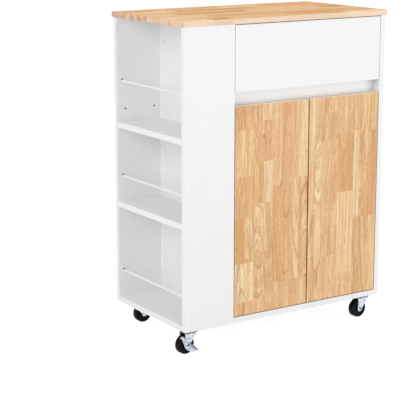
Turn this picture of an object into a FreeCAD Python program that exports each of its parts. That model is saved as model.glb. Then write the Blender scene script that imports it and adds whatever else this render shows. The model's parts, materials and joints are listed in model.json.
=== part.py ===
# Kitchen cart: a white board cabinet on four swivel casters, with a rubberwood worktop, two rubberwood
# doors, a drawer above them and three open bays with guard rails at the left end.
# Millimetres. +X runs to the cart's right, +Y to its back and +Z up. The origin is on the floor under
# the middle of the worktop.
import FreeCAD, Part
import math
import os
from FreeCAD import Vector

# Cabinet box, measured from the underside of the bottom panel to the underside of the worktop
cabinet_width = 642.0
cabinet_depth = 350.0
cabinet_height = 780.0
board = 15.0
worktop_thickness = 15.0
worktop_overhang_side = 4.0
worktop_overhang_front = 3.0
worktop_edge_radius = 1.5
caster_height = 64.0
cut_overrun = 1.0

# Open side bays behind the front panel. Heights that follow the cabinet's are shares of its height.
bay_width = 150.0
upper_shelf_share = 0.623
lower_shelf_share = 0.3436
upper_shelf_height = upper_shelf_share * cabinet_height
lower_shelf_height = lower_shelf_share * cabinet_height
upper_shelf_play = 0.5
guard_rail_diameter = 7.0
guard_rail_inset = 16.0
guard_rail_socket_depth = 8.0
guard_rail_end_play = 0.5
guard_rail_height_shares = [0.1115, 0.4513, 0.7833]
guard_rail_radial_play = 0.1

# Shelf pins and their holes
pin_diameter = 5.0
pin_length_in_panel = 7.0
pin_length_under_shelf = 8.0
pin_collar_diameter = 8.0
pin_collar_thickness = 1.0
pin_hole_depth = 9.0
pin_hole_play = 0.1
spare_hole_rise = 52.0
side_pin_left_inset = 25.0
side_pin_right_inset = 19.0
cupboard_pin_front_inset = 62.0
cupboard_pin_rear_inset = 60.0
cupboard_pin_step = 32.0
cupboard_pin_rows = [-2, -1, 0, 1, 2]

# Cupboard behind the doors
door_gap = 2.0
door_meeting_gap = 3.0
door_edge_radius = 0.8
finger_gap_height = 36.0
drawer_front_height = 170.0
drawer_gap = 2.0
door_height = cabinet_height - board - door_gap - finger_gap_height - drawer_front_height - drawer_gap
middle_rail_setback = 30.0
middle_rail_lap_below = 14.0
middle_rail_lap_above = 8.0
cupboard_shelf_share = 0.3525
cupboard_shelf_height = cupboard_shelf_share * cabinet_height
cupboard_shelf_setback = 32.0
cupboard_shelf_side_play = 1.2
cupboard_shelf_back_play = 1.0
back_board_thickness = 3.0
back_board_inset = 22.0
back_groove_depth = 3.0
back_board_play = 0.2
stretcher_depth = 70.0
stretcher_front_setback = 5.0

# Drawer
drawer_board = 12.0
drawer_box_height = 108.0
drawer_back_clearance = 25.0
drawer_box_length = cabinet_depth - board - back_board_inset - back_board_thickness - drawer_back_clearance
drawer_lift = 16.0
drawer_bottom_thickness = 3.0
drawer_bottom_rise = 9.0
drawer_groove_depth = 5.0
drawer_groove_play = 0.2
drawer_screw_inset = 20.0

# Drawer runners: a steel channel on the cabinet and a steel angle on the drawer, each with one roller
runner_space = 12.5
runner_steel = 1.2
channel_height = 30.0
channel_flange = 9.5
channel_overlength = 5.0
channel_length = drawer_box_length + channel_overlength
channel_front_setback = 2.0
angle_bottom_rise = 2.0
angle_height = 22.0
angle_lip = 9.0
angle_track_width = 8.6
roller_diameter = 17.0
roller_width = 5.0
roller_wall_play = 2.6
roller_track_play = 0.05
roller_rivet_diameter = 4.0
roller_rivet_head_diameter = 7.0
roller_rivet_head_thickness = 0.6
roller_side_play = 0.3
running_play = 0.05
front_roller_inset = 12.0
rear_roller_inset = 12.0
runner_screw_inset = 40.0

# Concealed cup hinges
cup_diameter = 35.0
cup_depth = 11.5
cup_centre_inset = 22.5
cup_radial_play = 0.1
cup_wall = 1.2
cup_floor = 1.0
cup_flange_thickness = 1.2
cup_flange_ring_diameter = 40.0
cup_flange_height = 62.0
cup_flange_width = 16.0
cup_screw_spacing = 48.0
hinge_inset_from_door_end = 80.0
link_pin_diameter = 3.0
link_eye_diameter = 6.0
link_thickness = 2.8
link_width = 11.0
link_cup_pin = (11.0, 8.5)
link_elbow = (24.0, 7.4)
link_arm_pin = (33.0, 21.5)
cup_pin_length = 22.0
arm_cheek_play = 0.7
arm_steel = 1.2
arm_nose_front = 18.0
arm_nose_tip = 37.0
arm_nose_back = 27.5
arm_root_face = 1.5
arm_root_width = 12.5
arm_root_front = 40.0
arm_root_bend = 50.0
arm_length_back = 78.0
arm_nose_chamfer = 3.5
arm_nose_start = 26.5
mount_plate_width = 28.0
mount_plate_height = 46.0
mount_plate_front = 44.0
mount_plate_screw_spacing = 32.0

# Casters
wheel_diameter = 50.0
wheel_width = 20.0
wheel_edge_radius = 3.0
wheel_dish_depth = 2.5
wheel_dish_outer_diameter = 36.0
wheel_hub_diameter = 16.0
axle_diameter = 6.0
axle_play = 0.08
caster_trail = 17.5
caster_side_inset = 33.0
rear_caster_side_inset = 46.0
caster_end_inset = 30.0
caster_plate_size = 38.0
caster_plate_thickness = 2.0
caster_plate_corner_radius = 4.0
caster_hole_spacing = 27.0
caster_hole_diameter = 4.2
ball_diameter = 3.0
ball_count = 8
ball_ring_diameter = 23.0
ball_play = 0.05
race_lip_diameter = 31.0
race_lip_thickness = 1.2
race_lip_height = 2.2
fork_steel = 2.0
fork_side_play = 1.0
fork_top_front = 19.0
fork_top_back = 25.0
fork_corner_radius = 3.0
fork_eye_diameter = 16.0
kingpin_diameter = 8.0
kingpin_play = 0.05
kingpin_head_diameter = 13.0
kingpin_head_thickness = 1.5
kingpin_top_diameter = 12.0
kingpin_top_thickness = 1.0
kingpin_head_play = 0.3
axle_bore_diameter = 4.0
axle_head_diameter = 9.0
axle_head_thickness = 1.3
axle_far_head_diameter = 10.0
axle_far_head_thickness = 1.5
axle_head_edge = 0.5
axle_seat_play = 0.1
# Direction in which each wheel trails behind its swivel, in degrees from +X
front_left_heading = 186.0
front_right_heading = 184.0
rear_left_heading = 1.0
rear_right_heading = 354.0

# Brake lever on the front left and the rear right caster
brake_steel = 1.5
brake_side_play = 0.3
brake_bore_play = 0.1
brake_tab_reach_in = 10.0
brake_pedal_width = 12.0
# Outline of the lever about the axle, towards the back and up, as shares of the wheel's radius. The tab
# is folded in along the first side and the pedal is folded out along the sixth
brake_outline_shares = [
    (0.78, 0.79), (0.52, 0.98), (0.44, 0.68), (0.28, 0.50), (0.0, 0.38), (-0.30, 0.20), (-1.14, -0.68),
    (-1.10, -0.78), (-0.88, -0.85), (-0.61, -0.82), (-0.32, -0.71), (-0.02, -0.58), (0.20, -0.42),
    (0.40, -0.14), (0.50, 0.12), (0.66, 0.52)]

# Joining hardware
cam_diameter = 15.0
cam_depth = 12.0
cam_setback = 24.0
cam_play = 0.1
cam_cap_diameter = 17.0
cam_cap_thickness = 0.8
cam_bolt_diameter = 6.0
cam_bolt_hole_play = 0.5
cam_bolt_thread_diameter = 5.0
cam_bolt_thread_length = 10.0
cam_bolt_head_diameter = 7.5
cam_bolt_head_length = 3.0
cam_slot_play = 0.2
dowel_diameter = 8.0
dowel_length = 28.0
dowel_play = 0.1
screw_play = 0.1
base_screw_diameter = 6.0
base_screw_length = 48.0
base_screw_head_diameter = 10.0
base_screw_head_depth = 3.0
base_screw_inset = 45.0
small_screw_diameter = 3.5
small_screw_length = 13.0
small_screw_head_diameter = 7.0
small_screw_head_height = 1.4
worktop_screw_length = 25.0
worktop_screw_inset = 70.0
drawer_screw_length = 40.0
divider_cam_height_shares = [0.128, 0.524, 0.908]

# Planes that the pieces share
left_x = -cabinet_width / 2
right_x = cabinet_width / 2
front_y = -cabinet_depth / 2
back_y = cabinet_depth / 2
base_z = caster_height
deck_z = base_z + board
top_z = base_z + cabinet_height
inner_front_y = front_y + board
inner_back_y = back_y - board
bay_right_x = left_x + bay_width
bay_inner_x = bay_right_x - board
cupboard_left_x = bay_right_x
cupboard_right_x = right_x - board
cupboard_middle_x = (cupboard_left_x + cupboard_right_x) / 2
back_board_front_y = back_y - back_board_inset - back_board_thickness
door_bottom_z = deck_z + door_gap
door_top_z = door_bottom_z + door_height
drawer_bottom_z = door_top_z + finger_gap_height
drawer_top_z = top_z - drawer_gap
box_bottom_z = drawer_bottom_z + drawer_lift
box_front_y = inner_front_y
box_left_x = cupboard_left_x + runner_space
box_right_x = cupboard_right_x - runner_space
axle_z = wheel_diameter / 2
fork_outer = wheel_width / 2 + fork_side_play + fork_steel
fork_top_z = caster_height - caster_plate_thickness - ball_diameter - 2 * ball_play

X = Vector(1, 0, 0)
Y = Vector(0, 1, 0)
Z = Vector(0, 0, 1)

# Holes are gathered here for each board and cut when the board is finished
drillings = {}
cams = []
caps = []
cam_bolts = []
dowels = []
hinge_screws = {"left_door": [], "right_door": []}
plate_screws = []
caster_screws = []


def block(x0, x1, y0, y1, z0, z1):
    """Box between two corners."""
    return Part.makeBox(x1 - x0, y1 - y0, z1 - z0, Vector(x0, y0, z0))


def rod(diameter, start, direction, length):
    """Cylinder from a point along a direction."""
    return Part.makeCylinder(diameter / 2, length, start, direction)


def bore(diameter, play, start, direction, length):
    """Cutter for a hole that clears a pin of the given diameter by the play all round."""
    return rod(diameter + 2 * play, start, direction, length)


def eased(solid, radius, edge_filter=None):
    """Round a solid's edges, or those that the filter picks."""
    edges = solid.Edges
    if edge_filter:
        edges = [edge for edge in solid.Edges if edge_filter(edge)]
    return solid.makeFillet(radius, edges)


def upright(edge):
    """True for an edge that runs along Z."""
    return abs(edge.tangentAt(edge.FirstParameter).z) > 0.9


def drill(node, cutter):
    drillings.setdefault(node, []).append(cutter)


def finished(node, blank):
    """The blank with all of its holes and grooves cut."""
    for cutter in drillings.get(node, []):
        blank = blank.cut(cutter)
    return blank


def save(node, solids):
    """Write one node, as one solid or as a group of separate solids."""
    shape = solids[0] if len(solids) == 1 else Part.makeCompound(solids)
    shape.exportStep("parts/" + node + ".step")
    print(node, len(shape.Solids), round(shape.Volume, 1), shape.isValid())


def cam_joint(board_node, mate_node, end, outward, face_normal, capped):
    """Cam lock and bolt that pull the end of one board against another board's face.
    end is on the joint plane in the middle of the board's thickness, outward points into the mate, and
    face_normal points out of the face that the cam is let into."""
    cam_centre = end - outward * cam_setback + face_normal * (board / 2)
    cam_middle = end - outward * cam_setback
    drill(board_node, bore(cam_diameter, cam_play, cam_centre, -face_normal, cam_depth))
    drill(board_node, rod(cam_bolt_diameter + cam_bolt_hole_play, cam_middle, outward, cam_setback))
    thread_length = cam_bolt_thread_length + cam_play
    drill(mate_node, bore(cam_bolt_thread_diameter, cam_play, end, outward, thread_length))
    head_start = end - outward * (cam_setback - cam_bolt_head_length / 2)
    shank_start = head_start + outward * cam_bolt_head_length
    shank_length = cam_setback - cam_bolt_head_length * 3 / 2
    bolt = rod(cam_bolt_head_diameter, head_start, outward, cam_bolt_head_length)
    bolt = bolt.fuse(rod(cam_bolt_diameter - cam_bolt_hole_play, shank_start, outward, shank_length))
    bolt = bolt.fuse(rod(cam_bolt_thread_diameter, end, outward, cam_bolt_thread_length))
    cam_bolts.append(bolt)
    cam = rod(cam_diameter, cam_centre, -face_normal, cam_depth - cam_play)
    slot_width = cam_bolt_head_diameter + 2 * cam_slot_play
    slot = rod(slot_width, end - outward * (cam_setback + cam_bolt_head_diameter / 2), outward, cam_diameter)
    cams.append(cam.cut(slot))
    if capped:
        caps.append(rod(cam_cap_diameter, cam_centre, face_normal, cam_cap_thickness))


def dowel_joint(board_node, mate_node, end, outward):
    """Fluted dowel, drawn plain, half in each board."""
    hole = rod(dowel_diameter + 2 * dowel_play, end - outward * (dowel_length / 2 + dowel_play), outward,
               dowel_length / 2 + dowel_play + cam_bolt_thread_length + dowel_play)
    drill(board_node, hole)
    drill(mate_node, hole)
    dowels.append(rod(dowel_diameter, end - outward * (dowel_length / 2), outward,
                      dowel_length / 2 + cam_bolt_thread_length))


def small_screw(seat, direction, length):
    """Small screw whose head's underside is at the seat and whose shank runs along the direction."""
    shank = rod(small_screw_diameter, seat, direction, length)
    return shank.fuse(rod(small_screw_head_diameter, seat, -direction, small_screw_head_height))


def small_screw_hole(seat, direction, length):
    return bore(small_screw_diameter, screw_play, seat, direction, length + screw_play)


def side_bay_boards():
    """Front panel, rear panel and divider, joined by cams at the divider's two upright edges."""
    divider_x = (bay_inner_x + bay_right_x) / 2
    heights = [share * cabinet_height for share in divider_cam_height_shares]
    for height in heights:
        z = base_z + height
        cam_joint("divider_panel", "rear_panel", Vector(divider_x, inner_back_y, z), Y, -X, True)
        cam_joint("divider_panel", "front_panel", Vector(divider_x, inner_front_y, z), -Y, -X, True)
    for lower, upper in zip(heights, heights[1:]):
        z = base_z + (lower + upper) / 2
        dowel_joint("divider_panel", "rear_panel", Vector(divider_x, inner_back_y, z), Y)
        dowel_joint("divider_panel", "front_panel", Vector(divider_x, inner_front_y, z), -Y)


def side_shelves():
    """Fixed lower shelf, held by cams, and the upper shelf that lies on pins."""
    middle_x = (left_x + bay_inner_x) / 2
    dowel_x = middle_x + cam_setback + cam_diameter
    lower_z = base_z + lower_shelf_height
    upper_z = base_z + upper_shelf_height
    shelf_z = lower_z + board / 2
    for mate, y, outward in (("rear_panel", inner_back_y, Y), ("front_panel", inner_front_y, -Y)):
        cam_joint("lower_side_shelf", mate, Vector(middle_x, y, shelf_z), outward, -Z, True)
        dowel_joint("lower_side_shelf", mate, Vector(dowel_x, y, shelf_z), outward)
    lower = block(left_x, bay_inner_x, inner_front_y, inner_back_y, lower_z, lower_z + board)
    upper = block(left_x, bay_inner_x - upper_shelf_play, inner_front_y + upper_shelf_play,
                  inner_back_y - upper_shelf_play, upper_z, upper_z + board)
    return lower, upper


def cupboard_shelf():
    """Loose shelf inside the cupboard."""
    z = deck_z + cupboard_shelf_height
    return block(cupboard_left_x + cupboard_shelf_side_play, cupboard_right_x - cupboard_shelf_side_play,
                 inner_front_y + cupboard_shelf_setback, back_board_front_y - cupboard_shelf_back_play,
                 z, z + board)


def shelf_pin(panel_node, mouth, outward):
    """Steel pin in a board's face: mouth is on the face and outward points into the open."""
    drill(panel_node, bore(pin_diameter, pin_hole_play, mouth, -outward, pin_hole_depth))
    pin = rod(pin_diameter, mouth - outward * pin_length_in_panel, outward,
              pin_length_in_panel + pin_length_under_shelf)
    return pin.fuse(rod(pin_collar_diameter, mouth, outward, pin_collar_thickness))


def side_pins():
    """Pins under the upper side shelf, with the pair of spare holes above them in each panel."""
    pins = []
    pin_z = base_z + upper_shelf_height - pin_diameter / 2
    for x in (left_x + side_pin_left_inset, bay_inner_x - side_pin_right_inset):
        for node, y, outward in (("rear_panel", inner_back_y, -Y), ("front_panel", inner_front_y, Y)):
            pins.append(shelf_pin(node, Vector(x, y, pin_z), outward))
            spare = Vector(x, y, pin_z + spare_hole_rise)
            drill(node, bore(pin_diameter, pin_hole_play, spare, -outward, pin_hole_depth))
            drill("upper_side_shelf", bore(pin_collar_diameter, pin_hole_play, Vector(x, y, pin_z), outward,
                                           pin_collar_thickness + pin_hole_play))
    return pins


def cupboard_pins():
    """Pins under the cupboard's shelf, in rows of holes that let it move up or down."""
    pins = []
    pin_z = deck_z + cupboard_shelf_height - pin_diameter / 2
    walls = (("divider_panel", cupboard_left_x, X), ("right_side_panel", cupboard_right_x, -X))
    for y in (front_y + cupboard_pin_front_inset, back_board_front_y - cupboard_pin_rear_inset):
        for node, x, outward in walls:
            pins.append(shelf_pin(node, Vector(x, y, pin_z), outward))
            for row in cupboard_pin_rows:
                hole = Vector(x, y, pin_z + row * cupboard_pin_step)
                drill(node, bore(pin_diameter, pin_hole_play, hole, -outward, pin_hole_depth))
    return pins


def guard_rails():
    """Three rods that cross the open side of the bays, let into the front and rear panels."""
    rails = []
    x = left_x + guard_rail_inset
    start_y = inner_front_y - guard_rail_socket_depth + guard_rail_end_play
    length = inner_back_y - inner_front_y + 2 * (guard_rail_socket_depth - guard_rail_end_play)
    for share in guard_rail_height_shares:
        z = base_z + share * cabinet_height
        for node, y, outward in (("front_panel", inner_front_y, -Y), ("rear_panel", inner_back_y, Y)):
            drill(node, bore(guard_rail_diameter, guard_rail_radial_play, Vector(x, y, z), outward,
                             guard_rail_socket_depth))
        rails.append(rod(guard_rail_diameter, Vector(x, start_y, z), Y, length))
    return rails


def cross_rails():
    """Rail behind the finger gap and the two flat stretchers under the worktop."""
    rail_y = front_y + middle_rail_setback
    rail_z0 = door_top_z - middle_rail_lap_below
    rail_z1 = drawer_bottom_z + middle_rail_lap_above
    rail = block(cupboard_left_x, cupboard_right_x, rail_y, rail_y + board, rail_z0, rail_z1)
    rail_z = (rail_z0 + rail_z1) / 2
    front_start_y = inner_front_y + stretcher_front_setback
    rear_start_y = back_board_front_y - back_board_play - stretcher_depth
    front = block(cupboard_left_x, cupboard_right_x, front_start_y, front_start_y + stretcher_depth,
                  top_z - board, top_z)
    rear = block(cupboard_left_x, cupboard_right_x, rear_start_y, rear_start_y + stretcher_depth,
                 top_z - board, top_z)
    sides = (("divider_panel", cupboard_left_x, -X), ("right_side_panel", cupboard_right_x, X))
    for mate, x, outward in sides:
        cam_joint("middle_rail", mate, Vector(x, rail_y + board / 2, rail_z), outward, Y, False)
        for node, start_y in (("front_stretcher", front_start_y), ("rear_stretcher", rear_start_y)):
            z = top_z - board / 2
            cam_joint(node, mate, Vector(x, start_y + stretcher_depth / 3, z), outward, -Z, False)
            dowel_joint(node, mate, Vector(x, start_y + stretcher_depth * 3 / 4, z), outward)
    return rail, front, rear


def worktop_screws():
    """Screws up through the stretchers into the worktop."""
    screws = []
    rear_middle_y = back_board_front_y - back_board_play - stretcher_depth / 2
    front_middle_y = inner_front_y + stretcher_front_setback + stretcher_depth / 2
    for x in (cupboard_left_x + worktop_screw_inset, cupboard_right_x - worktop_screw_inset):
        for node, y in (("front_stretcher", front_middle_y), ("rear_stretcher", rear_middle_y)):
            seat = Vector(x, y, top_z - board)
            hole = small_screw_hole(seat, Z, worktop_screw_length)
            drill(node, hole)
            drill("worktop", hole)
            screws.append(small_screw(seat, Z, worktop_screw_length))
    return screws


def base_screws():
    """Long screws up through the bottom panel into the four upright boards."""
    screws = []
    seats = []
    for y in (front_y + board / 2, back_y - board / 2):
        node = "front_panel" if y < 0 else "rear_panel"
        seats.append((node, left_x + base_screw_inset + caster_plate_size, y))
        seats.append((node, left_x + base_screw_inset - board, y))
    for node, x in (("divider_panel", bay_right_x - board / 2), ("right_side_panel", right_x - board / 2)):
        seats.append((node, x, front_y + 2 * base_screw_inset))
        seats.append((node, x, back_y - 2 * base_screw_inset))
    for node, x, y in seats:
        mouth = Vector(x, y, base_z)
        head = rod(base_screw_head_diameter, mouth, Z, base_screw_head_depth)
        shank = rod(base_screw_diameter, mouth, Z, base_screw_length)
        screws.append(head.fuse(shank))
        drill("bottom_panel", bore(base_screw_head_diameter, screw_play, mouth, Z,
                                   base_screw_head_depth + screw_play))
        hole = bore(base_screw_diameter, screw_play, mouth, Z, base_screw_length + screw_play)
        drill("bottom_panel", hole)
        drill(node, hole)
    return screws


def back_board():
    """Thin back of the cupboard, slid into grooves on three sides."""
    y0 = back_board_front_y
    y1 = back_board_front_y + back_board_thickness
    groove_z = deck_z - back_groove_depth
    groove = block(cupboard_left_x - back_groove_depth, cupboard_right_x + back_groove_depth,
                   y0 - back_board_play, y1 + back_board_play, groove_z, top_z + cut_overrun)
    for node in ("divider_panel", "right_side_panel", "bottom_panel"):
        drill(node, groove)
    return block(cupboard_left_x - back_groove_depth + back_board_play,
                 cupboard_right_x + back_groove_depth - back_board_play,
                 y0, y1, groove_z, top_z - back_board_play)


def roller(x_start, y, z):
    """Nylon roller with its bore along X."""
    start = Vector(x_start, y, z)
    wheel = rod(roller_diameter, start, X, roller_width)
    return wheel.cut(bore(roller_rivet_diameter, running_play, start, X, roller_width))


def runner_side(wall_x, inward):
    """The cabinet's channel, the drawer's angle, both rollers and the screws of one side.
    wall_x is the cupboard's inner face and inward is 1 or -1, towards the drawer."""
    def at(w0, w1, y0, y1, z0, z1):
        xs = sorted((wall_x + inward * w0, wall_x + inward * w1))
        return block(xs[0], xs[1], y0, y1, z0, z1)

    channel_z = box_bottom_z - angle_bottom_rise - runner_steel
    y0 = inner_front_y + channel_front_setback
    y1 = y0 + channel_length
    web = at(0, runner_steel, y0, y1, channel_z, channel_z + channel_height)
    low = at(runner_steel, channel_flange, y0, y1, channel_z, channel_z + runner_steel)
    high_z = channel_z + channel_height
    high = at(runner_steel, channel_flange, y0, y1, high_z - runner_steel, high_z)
    channel = web.fuse(low).fuse(high)

    angle_z = channel_z + angle_bottom_rise
    face_w = runner_space - runner_steel
    angle_y1 = box_front_y + drawer_box_length
    side = at(face_w, runner_space, box_front_y, angle_y1, angle_z, angle_z + angle_height)
    lip = at(runner_space, runner_space + angle_lip, box_front_y, angle_y1, angle_z, angle_z + runner_steel)
    track_z = angle_z + angle_height
    track = at(face_w - angle_track_width, face_w, box_front_y, angle_y1, track_z - runner_steel, track_z)
    angle = side.fuse(lip).fuse(track)

    roller_w = roller_wall_play + runner_steel
    roller_x = min(wall_x + inward * roller_w, wall_x + inward * (roller_w + roller_width))
    front_z = track_z - runner_steel - roller_track_play - roller_diameter / 2
    front_y_roller = y0 + front_roller_inset
    rear_z = channel_z + runner_steel + roller_track_play + roller_diameter / 2
    rear_y_roller = angle_y1 - rear_roller_inset
    front_roller = roller(roller_x, front_y_roller, front_z)
    rear_roller = roller(roller_x, rear_y_roller, rear_z)

    toward = X * inward
    head_gap = roller_side_play
    front_rivet_start = Vector(wall_x + inward * runner_steel, front_y_roller, front_z)
    front_length = roller_wall_play + roller_width + head_gap
    channel = channel.fuse(rod(roller_rivet_diameter, front_rivet_start, toward, front_length))
    channel = channel.fuse(rod(roller_rivet_head_diameter, front_rivet_start + toward * front_length, toward,
                               roller_rivet_head_thickness))
    rear_rivet_start = Vector(wall_x + inward * face_w, rear_y_roller, rear_z)
    rear_length = face_w - roller_w + head_gap
    angle = angle.fuse(rod(roller_rivet_diameter, rear_rivet_start, -toward, rear_length))
    angle = angle.fuse(rod(roller_rivet_head_diameter, rear_rivet_start - toward * rear_length, -toward,
                           roller_rivet_head_thickness))

    wall_node = "divider_panel" if inward > 0 else "right_side_panel"
    drawer_node = "drawer_left_side" if inward > 0 else "drawer_right_side"
    wall_screws = []
    drawer_screws = []
    for y in (y0 + runner_screw_inset, y1 - runner_screw_inset):
        seat = Vector(wall_x + inward * runner_steel, y, channel_z + channel_height / 2)
        hole = small_screw_hole(seat, -toward, small_screw_length)
        channel = channel.cut(hole)
        drill(wall_node, hole)
        wall_screws.append(small_screw(seat, -toward, small_screw_length))
    for y in (box_front_y + runner_screw_inset, angle_y1 - runner_screw_inset):
        seat = Vector(wall_x + inward * face_w, y, angle_z + angle_height / 2)
        length = drawer_board / 2
        hole = small_screw_hole(seat, toward, length)
        angle = angle.cut(hole)
        drill(drawer_node, hole)
        drawer_screws.append(small_screw(seat, toward, length))
    return channel, angle, front_roller, rear_roller, wall_screws, drawer_screws


def drawer():
    """Drawer front, two sides, back and a thin bottom that slides in grooves."""
    front = block(cupboard_left_x + drawer_gap, cupboard_right_x - drawer_gap, front_y, inner_front_y,
                  drawer_bottom_z, drawer_top_z)
    box_back_y = box_front_y + drawer_box_length
    box_top_z = box_bottom_z + drawer_box_height
    inner_left_x = box_left_x + drawer_board
    inner_right_x = box_right_x - drawer_board
    left = block(box_left_x, inner_left_x, box_front_y, box_back_y, box_bottom_z, box_top_z)
    right = block(inner_right_x, box_right_x, box_front_y, box_back_y, box_bottom_z, box_top_z)
    bottom_z = box_bottom_z + drawer_bottom_rise
    rear = block(inner_left_x, inner_right_x, box_back_y - drawer_board, box_back_y,
                 bottom_z + drawer_bottom_thickness + drawer_groove_play, box_top_z)
    groove = block(inner_left_x - drawer_groove_depth, inner_right_x + drawer_groove_depth,
                   box_front_y - drawer_groove_depth, box_back_y,
                   bottom_z - drawer_groove_play, bottom_z + drawer_bottom_thickness + drawer_groove_play)
    for node in ("drawer_left_side", "drawer_right_side", "drawer_front"):
        drill(node, groove)
    panel = block(inner_left_x - drawer_groove_depth + drawer_groove_play,
                  inner_right_x + drawer_groove_depth - drawer_groove_play,
                  box_front_y - drawer_groove_depth + drawer_groove_play, box_back_y,
                  bottom_z, bottom_z + drawer_bottom_thickness)
    screws = []
    in_front = board * 3 / 4
    heights = (box_bottom_z + 2 * drawer_screw_inset, box_top_z - drawer_screw_inset)
    for x, node, outward in ((box_left_x, "drawer_left_side", X), (box_right_x, "drawer_right_side", -X)):
        for z in heights:
            seat = Vector(x, box_back_y - drawer_board / 2, z)
            hole = small_screw_hole(seat, outward, drawer_screw_length)
            drill(node, hole)
            drill("drawer_back", hole)
            screws.append(small_screw(seat, outward, drawer_screw_length))
            tip = Vector(x + outward.x * drawer_board / 2, box_front_y - in_front, z)
            hole = bore(small_screw_diameter, screw_play, tip - Y * screw_play, Y,
                        in_front + drawer_screw_inset + 2 * screw_play)
            drill(node, hole)
            drill("drawer_front", hole)
            screws.append(rod(small_screw_diameter, tip, Y, in_front + drawer_screw_inset))
    return front, left, right, rear, panel, screws


def thick_line(points, width):
    """Flat outline of a bent strip with round ends and a round elbow, as one face in the XY plane."""
    shape = None
    for start, end in zip(points, points[1:]):
        along = end - start
        across = Vector(-along.y, along.x, 0).normalize() * (width / 2)
        corners = [start + across, end + across, end - across, start - across, start + across]
        strip = Part.Face(Part.makePolygon(corners))
        shape = strip if shape is None else shape.fuse(strip)
    return shape


class HingeFrame:
    """Places one hinge: u runs from the door's hinge edge across the door, v from its face to the back."""

    def __init__(self, edge_x, inward, z):
        self.edge_x = edge_x
        self.inward = inward
        self.z = z

    def point(self, u, v, rise=0):
        return Vector(self.edge_x + self.inward * u, front_y + v, self.z + rise)

    def block(self, u0, u1, v0, v1, half_height):
        xs = sorted((self.point(u0, 0).x, self.point(u1, 0).x))
        return block(xs[0], xs[1], front_y + v0, front_y + v1, self.z - half_height, self.z + half_height)

    def prism(self, outline, half_height, base=None):
        low = -half_height if base is None else base
        points = [self.point(u, v, low) for u, v in outline]
        face = Part.Face(Part.makePolygon(points + [points[0]]))
        return face.extrude(Z * (half_height - low))

    def pin(self, place, diameter, half_length):
        return rod(diameter, self.point(place[0], place[1], -half_length), Z, 2 * half_length)


def hinge_cup(frame, door_node):
    """Steel cup in the door's back, with its flange, its two screws and the pin that the link turns on."""
    centre = frame.point(cup_centre_inset, board - cup_depth)
    drill(door_node, rod(cup_diameter, centre, Y, cup_depth + cut_overrun))
    outer = cup_diameter - 2 * cup_radial_play
    inner = outer - 2 * cup_wall
    mouth = frame.point(cup_centre_inset, board)
    cup = rod(outer, centre, Y, cup_depth)
    cup = cup.fuse(rod(cup_flange_ring_diameter, mouth, Y, cup_flange_thickness))
    wing = frame.block(cup_centre_inset - cup_flange_width / 2, cup_centre_inset + cup_flange_width / 2,
                       board, board + cup_flange_thickness, cup_flange_height / 2)
    cup = cup.fuse(wing)
    cup = cup.cut(rod(inner, centre + Y * cup_floor, Y, cup_depth + cup_flange_thickness))
    cup = cup.fuse(frame.pin(link_cup_pin, link_pin_diameter, cup_pin_length / 2))
    for rise in (-cup_screw_spacing / 2, cup_screw_spacing / 2):
        seat = frame.point(cup_centre_inset, board + cup_flange_thickness, rise)
        hole = small_screw_hole(seat, -Y, board * 2 / 3)
        cup = cup.cut(hole)
        drill(door_node, hole)
        hinge_screws[door_node].append(small_screw(seat, -Y, board * 2 / 3))
    return cup


def hinge_link(frame):
    """Bent steel link between the arm's pin and the cup's pin."""
    half = link_width / 2
    points = [frame.point(place[0], place[1], -half) for place in (link_cup_pin, link_elbow, link_arm_pin)]
    link = thick_line(points, link_thickness).extrude(Z * link_width)
    link = link.fuse(rod(link_thickness, points[1], Z, link_width))
    for place in (link_cup_pin, link_arm_pin):
        link = link.fuse(frame.pin(place, link_eye_diameter, half))
    for place in (link_cup_pin, link_arm_pin):
        link = link.cut(frame.pin(place, link_pin_diameter + 2 * running_play, half))
    return link


def hinge_arm(frame):
    """Folded steel arm: two cheeks and a back web, with the pin that the link turns on."""
    face = arm_root_face + arm_root_width
    nose = arm_nose_tip - arm_nose_chamfer
    outline = [(arm_root_face, arm_length_back), (arm_root_face, arm_root_front),
               (arm_nose_start, arm_nose_front), (nose, arm_nose_front),
               (arm_nose_tip, arm_nose_front + arm_nose_chamfer), (nose, arm_nose_back),
               (face, arm_root_bend), (face, arm_length_back)]
    inner = link_width / 2 + arm_cheek_play
    outer = inner + arm_steel
    arm = frame.prism(outline, outer, inner)
    arm = arm.fuse(frame.prism(outline, -inner, -outer))
    arm = arm.fuse(frame.block(arm_root_face, arm_root_face + arm_steel, arm_root_front, arm_length_back,
                               outer))
    arm = arm.fuse(frame.block(face - arm_steel, face, arm_root_bend, arm_length_back, outer))
    return arm.fuse(frame.pin(link_arm_pin, link_pin_diameter, outer)).removeSplitter()


def hinge_plate(frame, wall_node):
    """Mounting plate screwed to the upright board, between the board and the arm."""
    plate = frame.block(-door_gap, arm_root_face, mount_plate_front, mount_plate_front + mount_plate_width,
                        mount_plate_height / 2)
    middle_v = mount_plate_front + mount_plate_width / 2
    into_wall = X * -frame.inward
    for rise in (-mount_plate_screw_spacing / 2, mount_plate_screw_spacing / 2):
        seat = frame.point(arm_root_face, middle_v, rise)
        hole = small_screw_hole(seat, into_wall, small_screw_length)
        plate = plate.cut(hole)
        drill(wall_node, hole)
        plate_screws.append(small_screw(seat, into_wall, small_screw_length))
    return plate


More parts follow.
